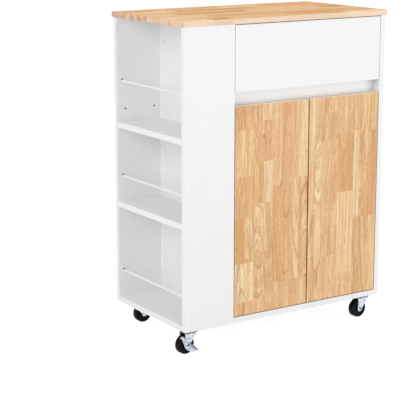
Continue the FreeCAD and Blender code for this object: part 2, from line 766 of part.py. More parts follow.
def door_with_hinges(door_node, wall_node, edge_x, inward, free_x):
    """One door leaf with its two cups, and the links, arms and plates that carry it."""
    xs = sorted((edge_x, free_x))
    leaf = block(xs[0], xs[1], front_y, inner_front_y, door_bottom_z, door_top_z)
    leaf = eased(leaf, door_edge_radius)
    cups = []
    links = []
    arms = []
    plates = []
    for z in (door_bottom_z + hinge_inset_from_door_end, door_top_z - hinge_inset_from_door_end):
        frame = HingeFrame(edge_x, inward, z)
        cups.append(hinge_cup(frame, door_node))
        links.append(hinge_link(frame))
        arms.append(hinge_arm(frame))
        plates.append(hinge_plate(frame, wall_node))
    return leaf, cups, links, arms, plates


class CasterFrame:
    """Turns a piece drawn with its wheel trailing along +X into its place under the cabinet."""

    def __init__(self, x, y, heading):
        self.x = x
        self.y = y
        self.heading = heading

    def place(self, solid):
        placed = solid.copy()
        placed.rotate(Vector(0, 0, 0), Z, self.heading)
        placed.translate(Vector(self.x, self.y, 0))
        return placed

    def place_square(self, solid):
        """Move a piece that stays square to the cabinet."""
        placed = solid.copy()
        placed.translate(Vector(self.x, self.y, 0))
        return placed


def caster_plate(frame):
    """Square top plate with four screw holes and the lip that keeps the balls in."""
    half = caster_plate_size / 2
    plate = block(-half, half, -half, half, caster_height - caster_plate_thickness, caster_height)
    plate = eased(plate, caster_plate_corner_radius, upright)
    lip_z = caster_height - caster_plate_thickness - race_lip_height
    lip = rod(race_lip_diameter, Vector(0, 0, lip_z), Z, race_lip_height)
    lip = lip.cut(rod(race_lip_diameter - 2 * race_lip_thickness, Vector(0, 0, lip_z), Z, race_lip_height))
    plate = plate.fuse(lip)
    seat = caster_height - kingpin_top_thickness
    plate = plate.cut(bore(kingpin_top_diameter, kingpin_play, Vector(0, 0, seat), Z, kingpin_top_thickness))
    plate = plate.cut(bore(kingpin_diameter, kingpin_play, Vector(0, 0, lip_z), Z, caster_plate_size))
    spacing = caster_hole_spacing / 2
    for sx in (-spacing, spacing):
        for sy in (-spacing, spacing):
            hole = rod(caster_hole_diameter, Vector(sx, sy, lip_z), Z, caster_plate_size)
            plate = plate.cut(hole)
            corner = Vector(sx, sy, caster_height - caster_plate_thickness)
            caster_screws.append(frame.place_square(small_screw(corner, Z, small_screw_length)))
            drill("bottom_panel", frame.place_square(small_screw_hole(corner, Z, small_screw_length)))
    return frame.place_square(plate)


def ball_ring(frame):
    """Balls between the top plate and the fork."""
    balls = []
    z = caster_height - caster_plate_thickness - ball_play - ball_diameter / 2
    for index in range(ball_count):
        angle = 2 * math.pi * index / ball_count
        place = Vector(math.cos(angle), math.sin(angle), 0) * (ball_ring_diameter / 2) + Z * z
        balls.append(frame.place_square(Part.makeSphere(ball_diameter / 2, place)))
    return balls


def kingpin(frame):
    """Rivet that the fork swivels on, set flush in the top plate."""
    bottom_z = fork_top_z - fork_steel - kingpin_head_play
    pin = rod(kingpin_diameter, Vector(0, 0, bottom_z), Z, caster_height - bottom_z)
    pin = pin.fuse(rod(kingpin_top_diameter, Vector(0, 0, caster_height - kingpin_top_thickness), Z,
                       kingpin_top_thickness))
    pin = pin.fuse(rod(kingpin_head_diameter, Vector(0, 0, bottom_z - kingpin_head_thickness), Z,
                       kingpin_head_thickness))
    return frame.place_square(pin)


def fork(frame):
    """Pressed steel fork: a top and two cheeks that narrow to the axle."""
    top_z0 = fork_top_z - fork_steel
    top = block(-fork_top_front, fork_top_back, -fork_outer, fork_outer, top_z0, fork_top_z)
    top = eased(top, fork_corner_radius, upright)
    top = top.cut(bore(kingpin_diameter, kingpin_play, Vector(0, 0, top_z0), Z, fork_steel))
    eye = fork_eye_diameter / 2
    shape = top
    for side in (-1, 1):
        y = side * fork_outer
        rim = -side * fork_steel
        front_low = Vector(caster_trail - eye, y, axle_z)
        back_low = Vector(caster_trail + eye, y, axle_z)
        bottom = Vector(caster_trail, y, axle_z - eye)
        front_high = Vector(-fork_top_front + fork_corner_radius, y, top_z0)
        back_high = Vector(fork_top_back - fork_corner_radius / 2, y, top_z0)
        shoulder_front = Vector(front_high.x, y, fork_top_z)
        shoulder_back = Vector(back_high.x, y, fork_top_z)
        edges = [Part.LineSegment(shoulder_front, front_high), Part.LineSegment(front_high, front_low),
                 Part.Arc(front_low, bottom, back_low), Part.LineSegment(back_low, back_high),
                 Part.LineSegment(back_high, shoulder_back), Part.LineSegment(shoulder_back, shoulder_front)]
        face = Part.Face(Part.Wire([edge.toShape() for edge in edges]))
        cheek = face.extrude(Y * rim)
        axle_end = Vector(caster_trail, y, axle_z)
        cheek = cheek.cut(bore(axle_diameter, axle_seat_play, axle_end, Y * rim, fork_steel))
        shape = shape.fuse(cheek)
    return frame.place(shape.removeSplitter())


def axle(frame, braked):
    """Tubular rivet through the fork and wheel: a flat head at the far end and a flared one at the other."""
    spacer = brake_side_play + brake_steel if braked else 0
    outer = fork_outer + spacer + axle_seat_play
    far = fork_outer + axle_seat_play
    start = Vector(caster_trail, -far, axle_z)
    tube = rod(axle_diameter, start, Y, far + outer)
    head = rod(axle_head_diameter, Vector(caster_trail, outer, axle_z), Y, axle_head_thickness)
    far_head = rod(axle_far_head_diameter, start, -Y, axle_far_head_thickness)
    head = eased(head, axle_head_edge, lambda edge: edge.BoundBox.YMin > outer)
    far_head = eased(far_head, axle_head_edge, lambda edge: edge.BoundBox.YMax < -far)
    rivet = tube.fuse(head).fuse(far_head)
    return frame.place(rivet.cut(rod(axle_bore_diameter, start, Y, far + outer + axle_head_thickness)))


def wheel(frame):
    """Solid wheel with rounded tread edges, dished sides and a plain bore."""
    half = wheel_width / 2
    centre = Vector(caster_trail, -half, axle_z)
    tyre = rod(wheel_diameter, centre, Y, wheel_width)
    tyre = eased(tyre, wheel_edge_radius, lambda edge: isinstance(edge.Curve, Part.Circle))
    for y in (-half, half - wheel_dish_depth):
        start = Vector(caster_trail, y, axle_z)
        dish = rod(wheel_dish_outer_diameter, start, Y, wheel_dish_depth)
        dish = dish.cut(rod(wheel_hub_diameter, start, Y, wheel_dish_depth))
        tyre = tyre.cut(dish)
    tyre = tyre.cut(bore(axle_diameter, axle_play, centre, Y, wheel_width))
    return frame.place(tyre)


def sheet_fold(first, second, reach, toward):
    """Strip of sheet metal that a fold takes out of its plate, along one straight side of the plate."""
    along = (second - first).normalize()
    inward = along.cross(Y) * brake_steel
    outline = [first, second, second + inward, first + inward, first]
    return Part.Face(Part.makePolygon(outline)).extrude(toward * reach)


def brake_lever(frame):
    """Pressed lever on the axle: a plate beside the cheek, with a tab folded in over the tread at its
    rear end and the foot pedal folded out at its front end."""
    y0 = fork_outer + brake_side_play
    y1 = y0 + brake_steel
    radius = wheel_diameter / 2
    outline = [Vector(x * radius, y0, z * radius) for x, z in brake_outline_shares]
    lever = Part.Face(Part.makePolygon(outline + outline[:1])).extrude(Y * brake_steel)
    outer = [corner + Y * brake_steel for corner in outline]
    lever = lever.fuse(sheet_fold(outer[0], outer[1], brake_tab_reach_in, -Y))
    lever = lever.fuse(sheet_fold(outline[5], outline[6], brake_pedal_width, Y))
    lever = lever.cut(bore(axle_diameter, brake_bore_play, Y * y0, Y, brake_steel)).removeSplitter()
    lever.translate(Vector(caster_trail, 0, axle_z))
    return frame.place(lever)


def worktop():
    """Rubberwood worktop that overhangs the cabinet on all four sides."""
    slab = block(left_x - worktop_overhang_side, right_x + worktop_overhang_side,
                 front_y - worktop_overhang_front, back_y + worktop_overhang_front,
                 top_z, top_z + worktop_thickness)
    return eased(slab, worktop_edge_radius)


os.makedirs("parts", exist_ok=True)

# Joinery first, so that every board knows its holes
side_bay_boards()
lower_side_shelf, upper_side_shelf = side_shelves()
shelf_pins = side_pins() + cupboard_pins()
rails = guard_rails()
middle_rail, front_stretcher, rear_stretcher = cross_rails()
top_screws = worktop_screws()
bottom_screws = base_screws()
rear_board = back_board()
left_runner = runner_side(cupboard_left_x, 1)
right_runner = runner_side(cupboard_right_x, -1)
drawer_front, drawer_left, drawer_right, drawer_rear, drawer_panel, box_screws = drawer()
leaf_half_gap = door_meeting_gap / 2
left_leaf = door_with_hinges("left_door", "divider_panel", cupboard_left_x + door_gap, 1,
                             cupboard_middle_x - leaf_half_gap)
right_leaf = door_with_hinges("right_door", "right_side_panel", cupboard_right_x - door_gap, -1,
                              cupboard_middle_x + leaf_half_gap)

# Casters, each with its own heading
caster_left_x = left_x + caster_side_inset
caster_right_x = right_x - caster_side_inset
rear_caster_left_x = left_x + rear_caster_side_inset
rear_caster_right_x = right_x - rear_caster_side_inset
caster_front_y = front_y + caster_end_inset
caster_back_y = back_y - caster_end_inset
casters = [("front_left", CasterFrame(caster_left_x, caster_front_y, front_left_heading), True),
           ("front_right", CasterFrame(caster_right_x, caster_front_y, front_right_heading), False),
           ("rear_left", CasterFrame(rear_caster_left_x, caster_back_y, rear_left_heading), False),
           ("rear_right", CasterFrame(rear_caster_right_x, caster_back_y, rear_right_heading), True)]
plates = []
balls = []
kingpins = []
for name, frame, braked in casters:
    plates.append(caster_plate(frame))
    balls.extend(ball_ring(frame))
    kingpins.append(kingpin(frame))
    save(name + "_fork", [fork(frame)])
    save(name + "_axle", [axle(frame, braked)])
    save(name + "_wheel", [wheel(frame)])
    if braked:
        save(name + "_brake_lever", [brake_lever(frame)])
save("caster_plates", plates)
save("caster_balls", balls)
save("caster_kingpins", kingpins)
save("caster_screws", caster_screws)

# Boards
boards = {
    "bottom_panel": block(left_x, right_x, front_y, back_y, base_z, deck_z),
    "front_panel": block(left_x, bay_right_x, front_y, inner_front_y, deck_z, top_z),
    "rear_panel": block(left_x, bay_right_x, inner_back_y, back_y, deck_z, top_z),
    "divider_panel": block(bay_inner_x, bay_right_x, inner_front_y, inner_back_y, deck_z, top_z),
    "right_side_panel": block(cupboard_right_x, right_x, front_y, back_y, deck_z, top_z),
    "lower_side_shelf": lower_side_shelf,
    "upper_side_shelf": upper_side_shelf,
    "cupboard_shelf": cupboard_shelf(),
    "middle_rail": middle_rail,
    "front_stretcher": front_stretcher,
    "rear_stretcher": rear_stretcher,
    "back_board": rear_board,
    "worktop": worktop(),
    "drawer_front": drawer_front,
    "drawer_left_side": drawer_left,
    "drawer_right_side": drawer_right,
    "drawer_back": drawer_rear,
    "drawer_bottom": drawer_panel,
    "left_door": left_leaf[0],
    "right_door": right_leaf[0],
}
for node, blank in boards.items():
    save(node, [finished(node, blank)])

# Fittings
save("guard_rails", rails)
save("shelf_pins", shelf_pins)
save("cam_locks", cams)
save("cam_bolts", cam_bolts)
save("cam_caps", caps)
save("dowels", dowels)
save("worktop_screws", top_screws)
save("base_screws", bottom_screws)
save("left_cabinet_runner", [left_runner[0]])
save("right_cabinet_runner", [right_runner[0]])
save("left_drawer_runner", [left_runner[1]])
save("right_drawer_runner", [right_runner[1]])
save("front_runner_rollers", [left_runner[2], right_runner[2]])
save("rear_runner_rollers", [left_runner[3], right_runner[3]])
save("drawer_screws", left_runner[5] + right_runner[5] + box_screws)
save("left_hinge_cups", left_leaf[1] + hinge_screws["left_door"])
save("right_hinge_cups", right_leaf[1] + hinge_screws["right_door"])
save("left_hinge_links", left_leaf[2])
save("right_hinge_links", right_leaf[2])
save("hinge_arms", left_leaf[3] + right_leaf[3])
save("hinge_plates", left_leaf[4] + right_leaf[4])
save("fitting_screws", left_runner[4] + right_runner[4] + plate_screws)
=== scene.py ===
import json
import math
import random

import bmesh
import bpy
from mathutils import Matrix, Vector


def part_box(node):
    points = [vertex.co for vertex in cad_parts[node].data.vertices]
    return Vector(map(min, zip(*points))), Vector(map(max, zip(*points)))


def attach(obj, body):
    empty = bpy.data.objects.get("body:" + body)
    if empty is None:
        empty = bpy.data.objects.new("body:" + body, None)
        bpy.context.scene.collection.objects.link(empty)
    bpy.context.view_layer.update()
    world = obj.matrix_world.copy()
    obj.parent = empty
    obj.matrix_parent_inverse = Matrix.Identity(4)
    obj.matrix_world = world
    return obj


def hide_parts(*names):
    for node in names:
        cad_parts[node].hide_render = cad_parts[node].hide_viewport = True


# The kitchen cart, from the worktop down: a white board cabinet with a rubberwood worktop and doors,
# on four swivel casters. Metres, with the origin on the floor under the middle of the worktop.
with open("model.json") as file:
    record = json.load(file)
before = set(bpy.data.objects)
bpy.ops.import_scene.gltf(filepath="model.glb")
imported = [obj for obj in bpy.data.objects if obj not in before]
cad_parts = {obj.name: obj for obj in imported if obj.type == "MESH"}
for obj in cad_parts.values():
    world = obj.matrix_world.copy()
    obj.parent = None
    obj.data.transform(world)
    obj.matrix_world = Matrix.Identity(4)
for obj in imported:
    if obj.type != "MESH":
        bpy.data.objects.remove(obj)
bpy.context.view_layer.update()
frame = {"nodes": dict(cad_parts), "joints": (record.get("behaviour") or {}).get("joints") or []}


# Studio. The camera stands at the cart's front left, a little above it, and looks down at it with a
# long lens, as in the product photograph. The floor and the surroundings are plain white.
camera = bpy.data.objects.new("camera", bpy.data.cameras.new("camera"))
bpy.context.scene.collection.objects.link(camera)
camera.data.sensor_width = 36.0
camera.data.lens = 122.174
camera.data.shift_y = -0.055
camera.data.clip_end = 60.0
camera.location = (-2.107659, -2.966384, 1.160123)
camera_dip = 11.773
camera_turn = -33.275
camera.rotation_euler = (math.radians(90.0 - camera_dip), 0.0, math.radians(camera_turn))
bpy.context.scene.camera = camera
bpy.context.scene.view_settings.view_transform = "Standard"


def seen_ray(tree):
    """Factor that is 1 where the camera looks straight at the surface, or sees it in metal or glass."""
    path = tree.nodes.new("ShaderNodeLightPath")
    factor = path.outputs["Is Camera Ray"]
    for ray in ("Is Glossy Ray", "Is Transmission Ray"):
        either = tree.nodes.new("ShaderNodeMath")
        either.operation = "MAXIMUM"
        tree.links.new(factor, either.inputs[0])
        tree.links.new(path.outputs[ray], either.inputs[1])
        factor = either.outputs[0]
    return factor


plain_white = (1.0, 1.0, 1.0, 1.0)
studio_light = 0.53
world = bpy.data.worlds.new("studio")
bpy.context.scene.world = world
world.use_nodes = True
world_tree = world.node_tree
lit = world_tree.nodes["Background"]
lit.inputs["Color"].default_value = plain_white
lit.inputs["Strength"].default_value = studio_light
seen = world_tree.nodes.new("ShaderNodeBackground")
seen.inputs["Color"].default_value = plain_white
seen.inputs["Strength"].default_value = 1.0
world_mix = world_tree.nodes.new("ShaderNodeMixShader")
world_tree.links.new(seen_ray(world_tree), world_mix.inputs[0])
world_tree.links.new(lit.outputs[0], world_mix.inputs[1])
world_tree.links.new(seen.outputs[0], world_mix.inputs[2])
world_tree.links.new(world_mix.outputs[0], world_tree.nodes["World Output"].inputs[0])

floor_half = 20.0
floor_grey = (0.8, 0.8, 0.8, 1.0)
shadow_grey = (0.5, 0.5, 0.5, 1.0)
floor_glow = 0.82
floor_mesh = bpy.data.meshes.new("floor")
floor_mesh.from_pydata([(-floor_half, -floor_half, 0), (floor_half, -floor_half, 0),
                        (floor_half, floor_half, 0), (-floor_half, floor_half, 0)], [], [(0, 1, 2, 3)])
floor = bpy.data.objects.new("floor", floor_mesh)
bpy.context.scene.collection.objects.link(floor)
floor_paint = bpy.data.materials.new("floor_paint")
floor_paint.use_nodes = True
floor_tree = floor_paint.node_tree
floor_tree.nodes.remove(floor_tree.nodes["Principled BSDF"])
floor_diffuse = floor_tree.nodes.new("ShaderNodeBsdfDiffuse")
floor_diffuse.inputs["Color"].default_value = floor_grey
floor_shadow = floor_tree.nodes.new("ShaderNodeBsdfDiffuse")
floor_shadow.inputs["Color"].default_value = shadow_grey
floor_white = floor_tree.nodes.new("ShaderNodeEmission")
floor_white.inputs["Strength"].default_value = floor_glow
floor_seen = floor_tree.nodes.new("ShaderNodeAddShader")
floor_mix = floor_tree.nodes.new("ShaderNodeMixShader")
floor_tree.links.new(floor_white.outputs[0], floor_seen.inputs[0])
floor_tree.links.new(floor_shadow.outputs[0], floor_seen.inputs[1])
floor_tree.links.new(seen_ray(floor_tree), floor_mix.inputs[0])
floor_tree.links.new(floor_diffuse.outputs[0], floor_mix.inputs[1])
floor_tree.links.new(floor_seen.outputs[0], floor_mix.inputs[2])
floor_tree.links.new(floor_mix.outputs[0], floor_tree.nodes["Material Output"].inputs[0])
floor_mesh.materials.append(floor_paint)

softbox_width = 2.4
for name, place, target, power in (
        ("right_softbox", (1.8, -3.3, 0.5), (0.0, 0.0, 0.4), 46.5),
        ("left_softbox", (-3.1, -1.3, 1.7), (0.0, 0.0, 0.4), 43.5),
        ("top_softbox", (0.0, -0.4, 4.0), (0.0, 0.0, 0.8), 29.0),
        ("back_softbox", (0.8, 3.4, 2.4), (0.0, 0.0, 0.5), 34.0)):
    lamp = bpy.data.objects.new(name, bpy.data.lights.new(name, "AREA"))
    bpy.context.scene.collection.objects.link(lamp)
    lamp.data.shape = "DISK"
    lamp.data.size = softbox_width
    lamp.data.energy = power
    lamp.location = place
    lamp.rotation_euler = (Vector(target) - Vector(place)).to_track_quat("-Z", "Y").to_euler()


# Worktop and doors: solid boards glued up from rubberwood staves. The staves are finger-jointed end to
# end into strips and the strips are glued side by side, sanded flush and oiled. The worktop is screwed
# down from below, and each door hangs on two hinges.
class Finish:
    """One surface finish, as a material whose nodes are added step by step."""

    def __init__(self, name, **sockets):
        self.material = bpy.data.materials.new(name)
        self.material.use_nodes = True
        self.tree = self.material.node_tree
        self.shader = self.tree.nodes["Principled BSDF"]
        self.set(self.shader, sockets)
        where = self.tree.nodes.new("ShaderNodeTexCoord")
        self.place = where.outputs["Object"]
        self.outward = where.outputs["Normal"]
        self.share = where.outputs["Generated"]

    def set(self, node, sockets):
        """Gives each named socket a value, or links it where the value is another node's output."""
        for key, value in sockets.items():
            socket = node.inputs[key.replace("_", " ") if isinstance(key, str) else key]
            if isinstance(value, bpy.types.NodeSocket):
                self.tree.links.new(value, socket)
            elif isinstance(value, tuple) and len(value) == 3 and socket.type == "RGBA":
                socket.default_value = (*value, 1.0)
            else:
                socket.default_value = value

    def axes(self, vector):
        """The three parts of a vector, along X, Y and Z."""
        node = self.tree.nodes.new("ShaderNodeSeparateXYZ")
        self.set(node, {0: vector})
        return node.outputs

    def length(self, vector):
        node = self.tree.nodes.new("ShaderNodeVectorMath")
        node.operation = "LENGTH"
        self.set(node, {0: vector})
        return node.outputs["Value"]

    def math(self, operation, first, second=0.0, third=0.0):
        node = self.tree.nodes.new("ShaderNodeMath")
        node.operation = operation
        self.set(node, {0: first, 1: second, 2: third})
        return node.outputs[0]

    def vector(self, x, y, z):
        node = self.tree.nodes.new("ShaderNodeCombineXYZ")
        self.set(node, {0: x, 1: y, 2: z})
        return node.outputs[0]

    def stretched(self, scale):
        """The place with each axis multiplied, so that a texture runs longer along one of them."""
        node = self.tree.nodes.new("ShaderNodeVectorMath")
        node.operation = "MULTIPLY"
        self.set(node, {0: self.place, 1: scale})
        return node.outputs[0]

    def noise(self, place, scale, detail=2.0, roughness=0.5):
        node = self.tree.nodes.new("ShaderNodeTexNoise")
        self.set(node, {"Vector": place, "Scale": scale, "Detail": detail, "Roughness": roughness})
        return node.outputs["Fac"]

    def spread(self, value, low, high, to_low=0.0, to_high=1.0):
        """Stretches the part of a value between low and high over a new range, and cuts off the rest."""
        node = self.tree.nodes.new("ShaderNodeMapRange")
        self.set(node, {"Value": value, "From Min": low, "From Max": high,
                        "To Min": to_low, "To Max": to_high})
        return node.outputs[0]

    def ramp(self, value, stops, mode="LINEAR"):
        """Colours along a value. The stops are pairs of position and colour, from 0 up."""
        node = self.tree.nodes.new("ShaderNodeValToRGB")
        node.color_ramp.interpolation = mode
        points = node.color_ramp.elements
        points[0].position, points[0].color = stops[0][0], (*stops[0][1], 1.0)
        points.remove(points[1])
        for position, colour in stops[1:]:
            points.new(position).color = (*colour, 1.0)
        self.set(node, {0: value})
        return node.outputs[0]

    def blend(self, factor, first, second):
        """Mixes two colours, which the mix node takes in its sockets 6 and 7 and gives back in 2."""
        node = self.tree.nodes.new("ShaderNodeMix")
        node.data_type = "RGBA"
        self.set(node, {0: factor, 6: first, 7: second})
        return node.outputs[2]

    def bump(self, height, depth, strength=1.0):
        """Relief of the given depth in metres, from a height of 0 to 1."""
        node = self.tree.nodes.new("ShaderNodeBump")
        self.set(node, {"Height": height, "Distance": depth, "Strength": strength})
        self.set(self.shader, {"Normal": node.outputs[0]})

    def dress(self, node):
        """Puts the finish on a CAD node as it stands."""
        for slot in frame["nodes"][node].material_slots:
            slot.material = self.material


def linear(code):
    """Colour of a six-digit sRGB code, as linear values."""
    shares = [int(code[i:i + 2], 16) / 255.0 for i in (0, 2, 4)]
    return tuple(s / 12.92 if s <= 0.04045 else ((s + 0.055) / 1.055) ** 2.4 for s in shares)


joint_line = 0.0003
ramp_steps = 255
rings_per_metre = 130.0
ring_sway, ring_wobble = 0.024, 0.006
slant_range = 0.24
pith_nearest, pith_range = 0.012, 0.03
knot_stretch, knot_push = 0.4, 0.02
fibre_fineness = 420.0
pore_fineness = 1300.0
grain_colours = [(0.0, linear("FFF2CC")), (0.25, linear("FFE4B0")), (0.5, linear("F6CD97")),
                 (0.7, linear("EBBA84")), (0.85, linear("DCA56B")), (1.0, linear("CB9056"))]


def rubberwood(name, across, along, start, size, strips, seed, rim, shine, knots=()):
    """Finish of one glued-up board. The strips lie side by side along one axis, from start over size,
    and each is a width with its staves, as pairs of length and tone from 0, pale, to 1, brown. Rim is
    the colour painted on the narrow sides: a painted highlight when pale and painted shade when dark.
    Knots are places across and along, with a radius and a depth of tone."""
    wood = Finish(name, Roughness=0.45, Specular_IOR_Level=shine)
    pick = random.Random(seed)
    axes = wood.axes(wood.place)
    through = ({"X", "Y", "Z"} - {across, along}).pop()
    side, run, deep = (axes["XYZ".index(axis)] for axis in (across, along, through))
    u = wood.spread(side, start[0], start[0] + size[0])
    v = wood.spread(run, start[1], start[1] + size[1])

    # Staves of each strip as steps of one colour: tone, place of the pith and far end of the stave. From the
    # last two comes a number by chance for each stave, which the grain then follows.
    edge = 0.0
    total = sum(width for width, staves in strips)
    picked = seam = None
    for width, staves in strips:
        length = sum(reach for reach, tone in staves)
        at = 0.0
        stops = []
        for reach, tone in staves:
            begin = round(at / length * ramp_steps)
            at += reach
            end = round(at / length * ramp_steps)
            pith = (edge + width * pick.uniform(-0.6, 1.6)) / total
            stops.append((max(0.0, (begin - 0.5) / ramp_steps), (tone, 0.5 * pith + 0.25, end / ramp_steps)))
        strip = wood.ramp(v, stops, "CONSTANT")
        if picked is None:
            picked = strip
        else:
            picked = wood.blend(wood.math("GREATER_THAN", u, edge / total), picked, strip)
            glue = wood.math("COMPARE", u, edge / total, joint_line / abs(size[0]))
            seam = wood.math("MAXIMUM", seam, glue) if seam else glue
        edge += width
    parts = wood.tree.nodes.new("ShaderNodeSeparateColor")
    wood.set(parts, {0: picked})
    tone, pith, finish_line = parts.outputs
    joint = wood.math("LESS_THAN", wood.math("SUBTRACT", finish_line, v), joint_line / abs(size[1]))
    seam = wood.math("MAXIMUM", seam, wood.math("MULTIPLY", joint, 0.6))
    chance = wood.math("MULTIPLY_ADD", pith, 613.1, wood.math("MULTIPLY", finish_line, 977.3))
    chance = wood.math("FRACT", wood.math("ADD", chance, seed * 0.371))
    second = wood.math("FRACT", wood.math("MULTIPLY", chance, 13.7))
    third = wood.math("FRACT", wood.math("MULTIPLY", chance, 51.3))

    # Growth rings round each stave's pith, which lies near the face and at a slight slant to it, so the
    # face cuts them into straight lines in some staves and pointed arches in others.
    wander_place = wood.vector(wood.math("MULTIPLY", chance, 40.0), wood.math("MULTIPLY", run, 11.0), 0.0)
    wander = wood.noise(wander_place, 1.0)
    pith_side = wood.math("MULTIPLY_ADD", pith, 2.0 * size[0], start[0] - 0.5 * size[0])
    ring_side = wood.math("SUBTRACT", side, pith_side)
    ring_side = wood.math("ADD", ring_side, wood.math("MULTIPLY_ADD", wander, ring_sway, -ring_sway / 2.0))
    from_middle = wood.math("SUBTRACT", run, start[1] + size[1] / 2.0)
    slant = wood.math("MULTIPLY_ADD", second, slant_range, -slant_range / 2.0)
    ring_deep = wood.math("MULTIPLY_ADD", third, pith_range, pith_nearest)
    ring_deep = wood.math("MULTIPLY_ADD", from_middle, slant, ring_deep)
    ring_deep = wood.math("ADD", ring_deep, wood.math("SUBTRACT", deep, start[2]))
    radius = wood.length(wood.vector(ring_side, ring_deep, 0.0))
    radius = wood.math("MULTIPLY_ADD", wander, ring_wobble, radius)
    knot_shade = None
    for knot_side, knot_run, knot_radius, knot_tone in knots:
        offset = wood.vector(wood.math("SUBTRACT", side, knot_side),
                             wood.math("MULTIPLY", wood.math("SUBTRACT", run, knot_run), knot_stretch), 0.0)
        away = wood.length(offset)
        bulge = wood.math("DIVIDE", knot_radius, wood.math("ADD", away, knot_radius))
        radius = wood.math("MULTIPLY_ADD", bulge, knot_push, radius)
        spot = wood.spread(away, knot_radius, knot_radius * 0.45, 0.0, knot_tone)
        knot_shade = wood.math("MAXIMUM", knot_shade, spot) if knot_shade else spot
    ring_place = wood.vector(wood.math("MULTIPLY", radius, 190.0), wood.math("MULTIPLY", chance, 9.0), 0.0)
    rings = wood.noise(ring_place, 1.0, 2.0, 0.55)
    late = wood.math("MULTIPLY_ADD", rings, 2.4, wood.math("MULTIPLY", radius, rings_per_metre))
    late = wood.math("FRACT", late)
    late = wood.math("MULTIPLY", wood.spread(late, 0.45, 0.95), wood.spread(late, 1.0, 0.95))

    # Fibres and the short dark lines of the pores, both drawn out along the stave.
    lean = wood.math("MULTIPLY", wood.math("SUBTRACT", third, 0.5), 0.09)
    leaning = wood.math("MULTIPLY_ADD", run, lean, wood.math("MULTIPLY_ADD", chance, 7.0, side))
    fibre_place = wood.vector(leaning, deep, wood.math("MULTIPLY", run, 0.03))
    fibres = wood.noise(fibre_place, fibre_fineness, 3.0, 0.6)
    bands = wood.noise(fibre_place, 85.0, 3.0, 0.6)
    flecks = wood.noise(wood.vector(leaning, deep, wood.math("MULTIPLY", run, 0.22)), 240.0, 2.0, 0.6)
    pore_place = wood.vector(leaning, deep, wood.math("MULTIPLY", run, 0.07))
    pores = wood.spread(wood.noise(pore_place, pore_fineness, 1.0), 0.6, 0.72)

    base = wood.ramp(tone, grain_colours)
    base = wood.blend(wood.math("MULTIPLY", second, 0.26), base, linear("F3BE98"))
    base = wood.blend(wood.spread(bands, 0.48, 0.72, 0.0, 0.55), base, linear("D59A66"))
    base = wood.blend(wood.spread(bands, 0.47, 0.3, 0.0, 0.6), base, linear("FFE8C0"))
    base = wood.blend(wood.spread(flecks, 0.5, 0.72, 0.0, 0.32), base, linear("CE9361"))
    base = wood.blend(wood.spread(flecks, 0.46, 0.3, 0.0, 0.3), base, linear("FFE6BE"))
    base = wood.blend(wood.spread(rings, 0.4, 0.68, 0.0, 0.34), base, linear("D29764"))
    figure = wood.math("MULTIPLY", late, wood.spread(third, 0.3, 0.8, 0.1, 0.5))
    base = wood.blend(figure, base, linear("B47A4A"))
    base = wood.blend(wood.spread(fibres, 0.45, 0.72, 0.0, 0.4), base, linear("B77D4C"))
    base = wood.blend(wood.math("MULTIPLY", pores, 0.42), base, linear("8F5F3A"))
    base = wood.blend(wood.math("MULTIPLY", seam, 0.25), base, linear("A06E45"))
    if knot_shade:
        base = wood.blend(knot_shade, base, linear("7A4A2C"))

    # The narrow sides take the rim colour, painted light: a highlight on the worktop's edges, shade on the
    # doors'.
    flat = wood.math("ABSOLUTE", wood.axes(wood.outward)["XYZ".index(through)])
    base = wood.blend(wood.spread(flat, 0.7, 0.3, 0.0, 0.7), base, linear(rim))
    wood.set(wood.shader, {"Base Color": base, "Roughness": wood.spread(fibres, 0.3, 0.7, 0.4, 0.5)})
    relief = wood.math("ADD", wood.math("MULTIPLY", fibres, 0.6), wood.math("MULTIPLY", pores, -0.5))
    wood.bump(wood.math("SUBTRACT", relief, seam), 0.00012, 0.5)
    return wood


def glued_strips(width, length, pitch, stave, seed):
    """Strips for a board that is cut from a longer one: staves of mixed length and tone."""
    pick = random.Random(seed)
    strips = []
    count = round(width / pitch)
    for strip in range(count):
        staves = []
        left = length
        reach = stave * pick.uniform(0.2, 1.0)
        while left > 0.0:
            reach = min(reach, left)
            staves.append((reach, pick.choice((0.2, 0.4, 0.55, 0.65, 0.75, 0.95))))
            left -= reach
            reach = stave * pick.uniform(0.6, 1.6)
        strips.append((width / count, staves))
    return strips


worktop_low, worktop_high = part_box("worktop")
worktop_size = worktop_high - worktop_low
strip_width = 0.04
stave_length = 0.2
worktop_strips = glued_strips(worktop_size.y, worktop_size.x, strip_width, stave_length, 5)
front_staves = [(0.088, 0.35), (0.06, 0.9), (0.17, 0.5), (0.2, 0.65), (0.132, 0.2)]
worktop_strips[0] = (worktop_strips[0][0], front_staves)
# The worktop's narrow sides get a pale cream rim, a painted highlight on its edges.
worktop_wood = rubberwood("worktop_rubberwood", "Y", "X", (worktop_low.y, worktop_low.x, worktop_low.z),
                          (worktop_size.y, worktop_size.x), worktop_strips, 11, "F8E4CE", 0.002)
# Its ends cut through the staves, whose end grain is darker and blotchy. Its underside is left bare, paler
# than the oiled face.
facing = worktop_wood.axes(worktop_wood.outward)
oiled_and_shaded = worktop_wood.shader.inputs["Base Color"].links[0].from_socket
blotches = worktop_wood.noise(worktop_wood.stretched((1.0, 1.0, 0.7)), 42.0, 4.0, 0.6)
end_colour = worktop_wood.ramp(blotches, [(0.38, linear("C08C64")), (0.5, linear("E8C3A3")),
                                          (0.64, linear("F2D6BE"))])
end_grain = worktop_wood.spread(worktop_wood.math("ABSOLUTE", facing[0]), 0.5, 0.8, 0.0, 0.8)
oiled_and_shaded = worktop_wood.blend(end_grain, oiled_and_shaded, end_colour)
bare_wood = worktop_wood.spread(facing[2], -0.5, -0.9, 0.0, 0.85)
worktop_wood.set(worktop_wood.shader, {"Base Color": worktop_wood.blend(bare_wood, oiled_and_shaded, linear("F5F3F0"))})
worktop_wood.dress("worktop")

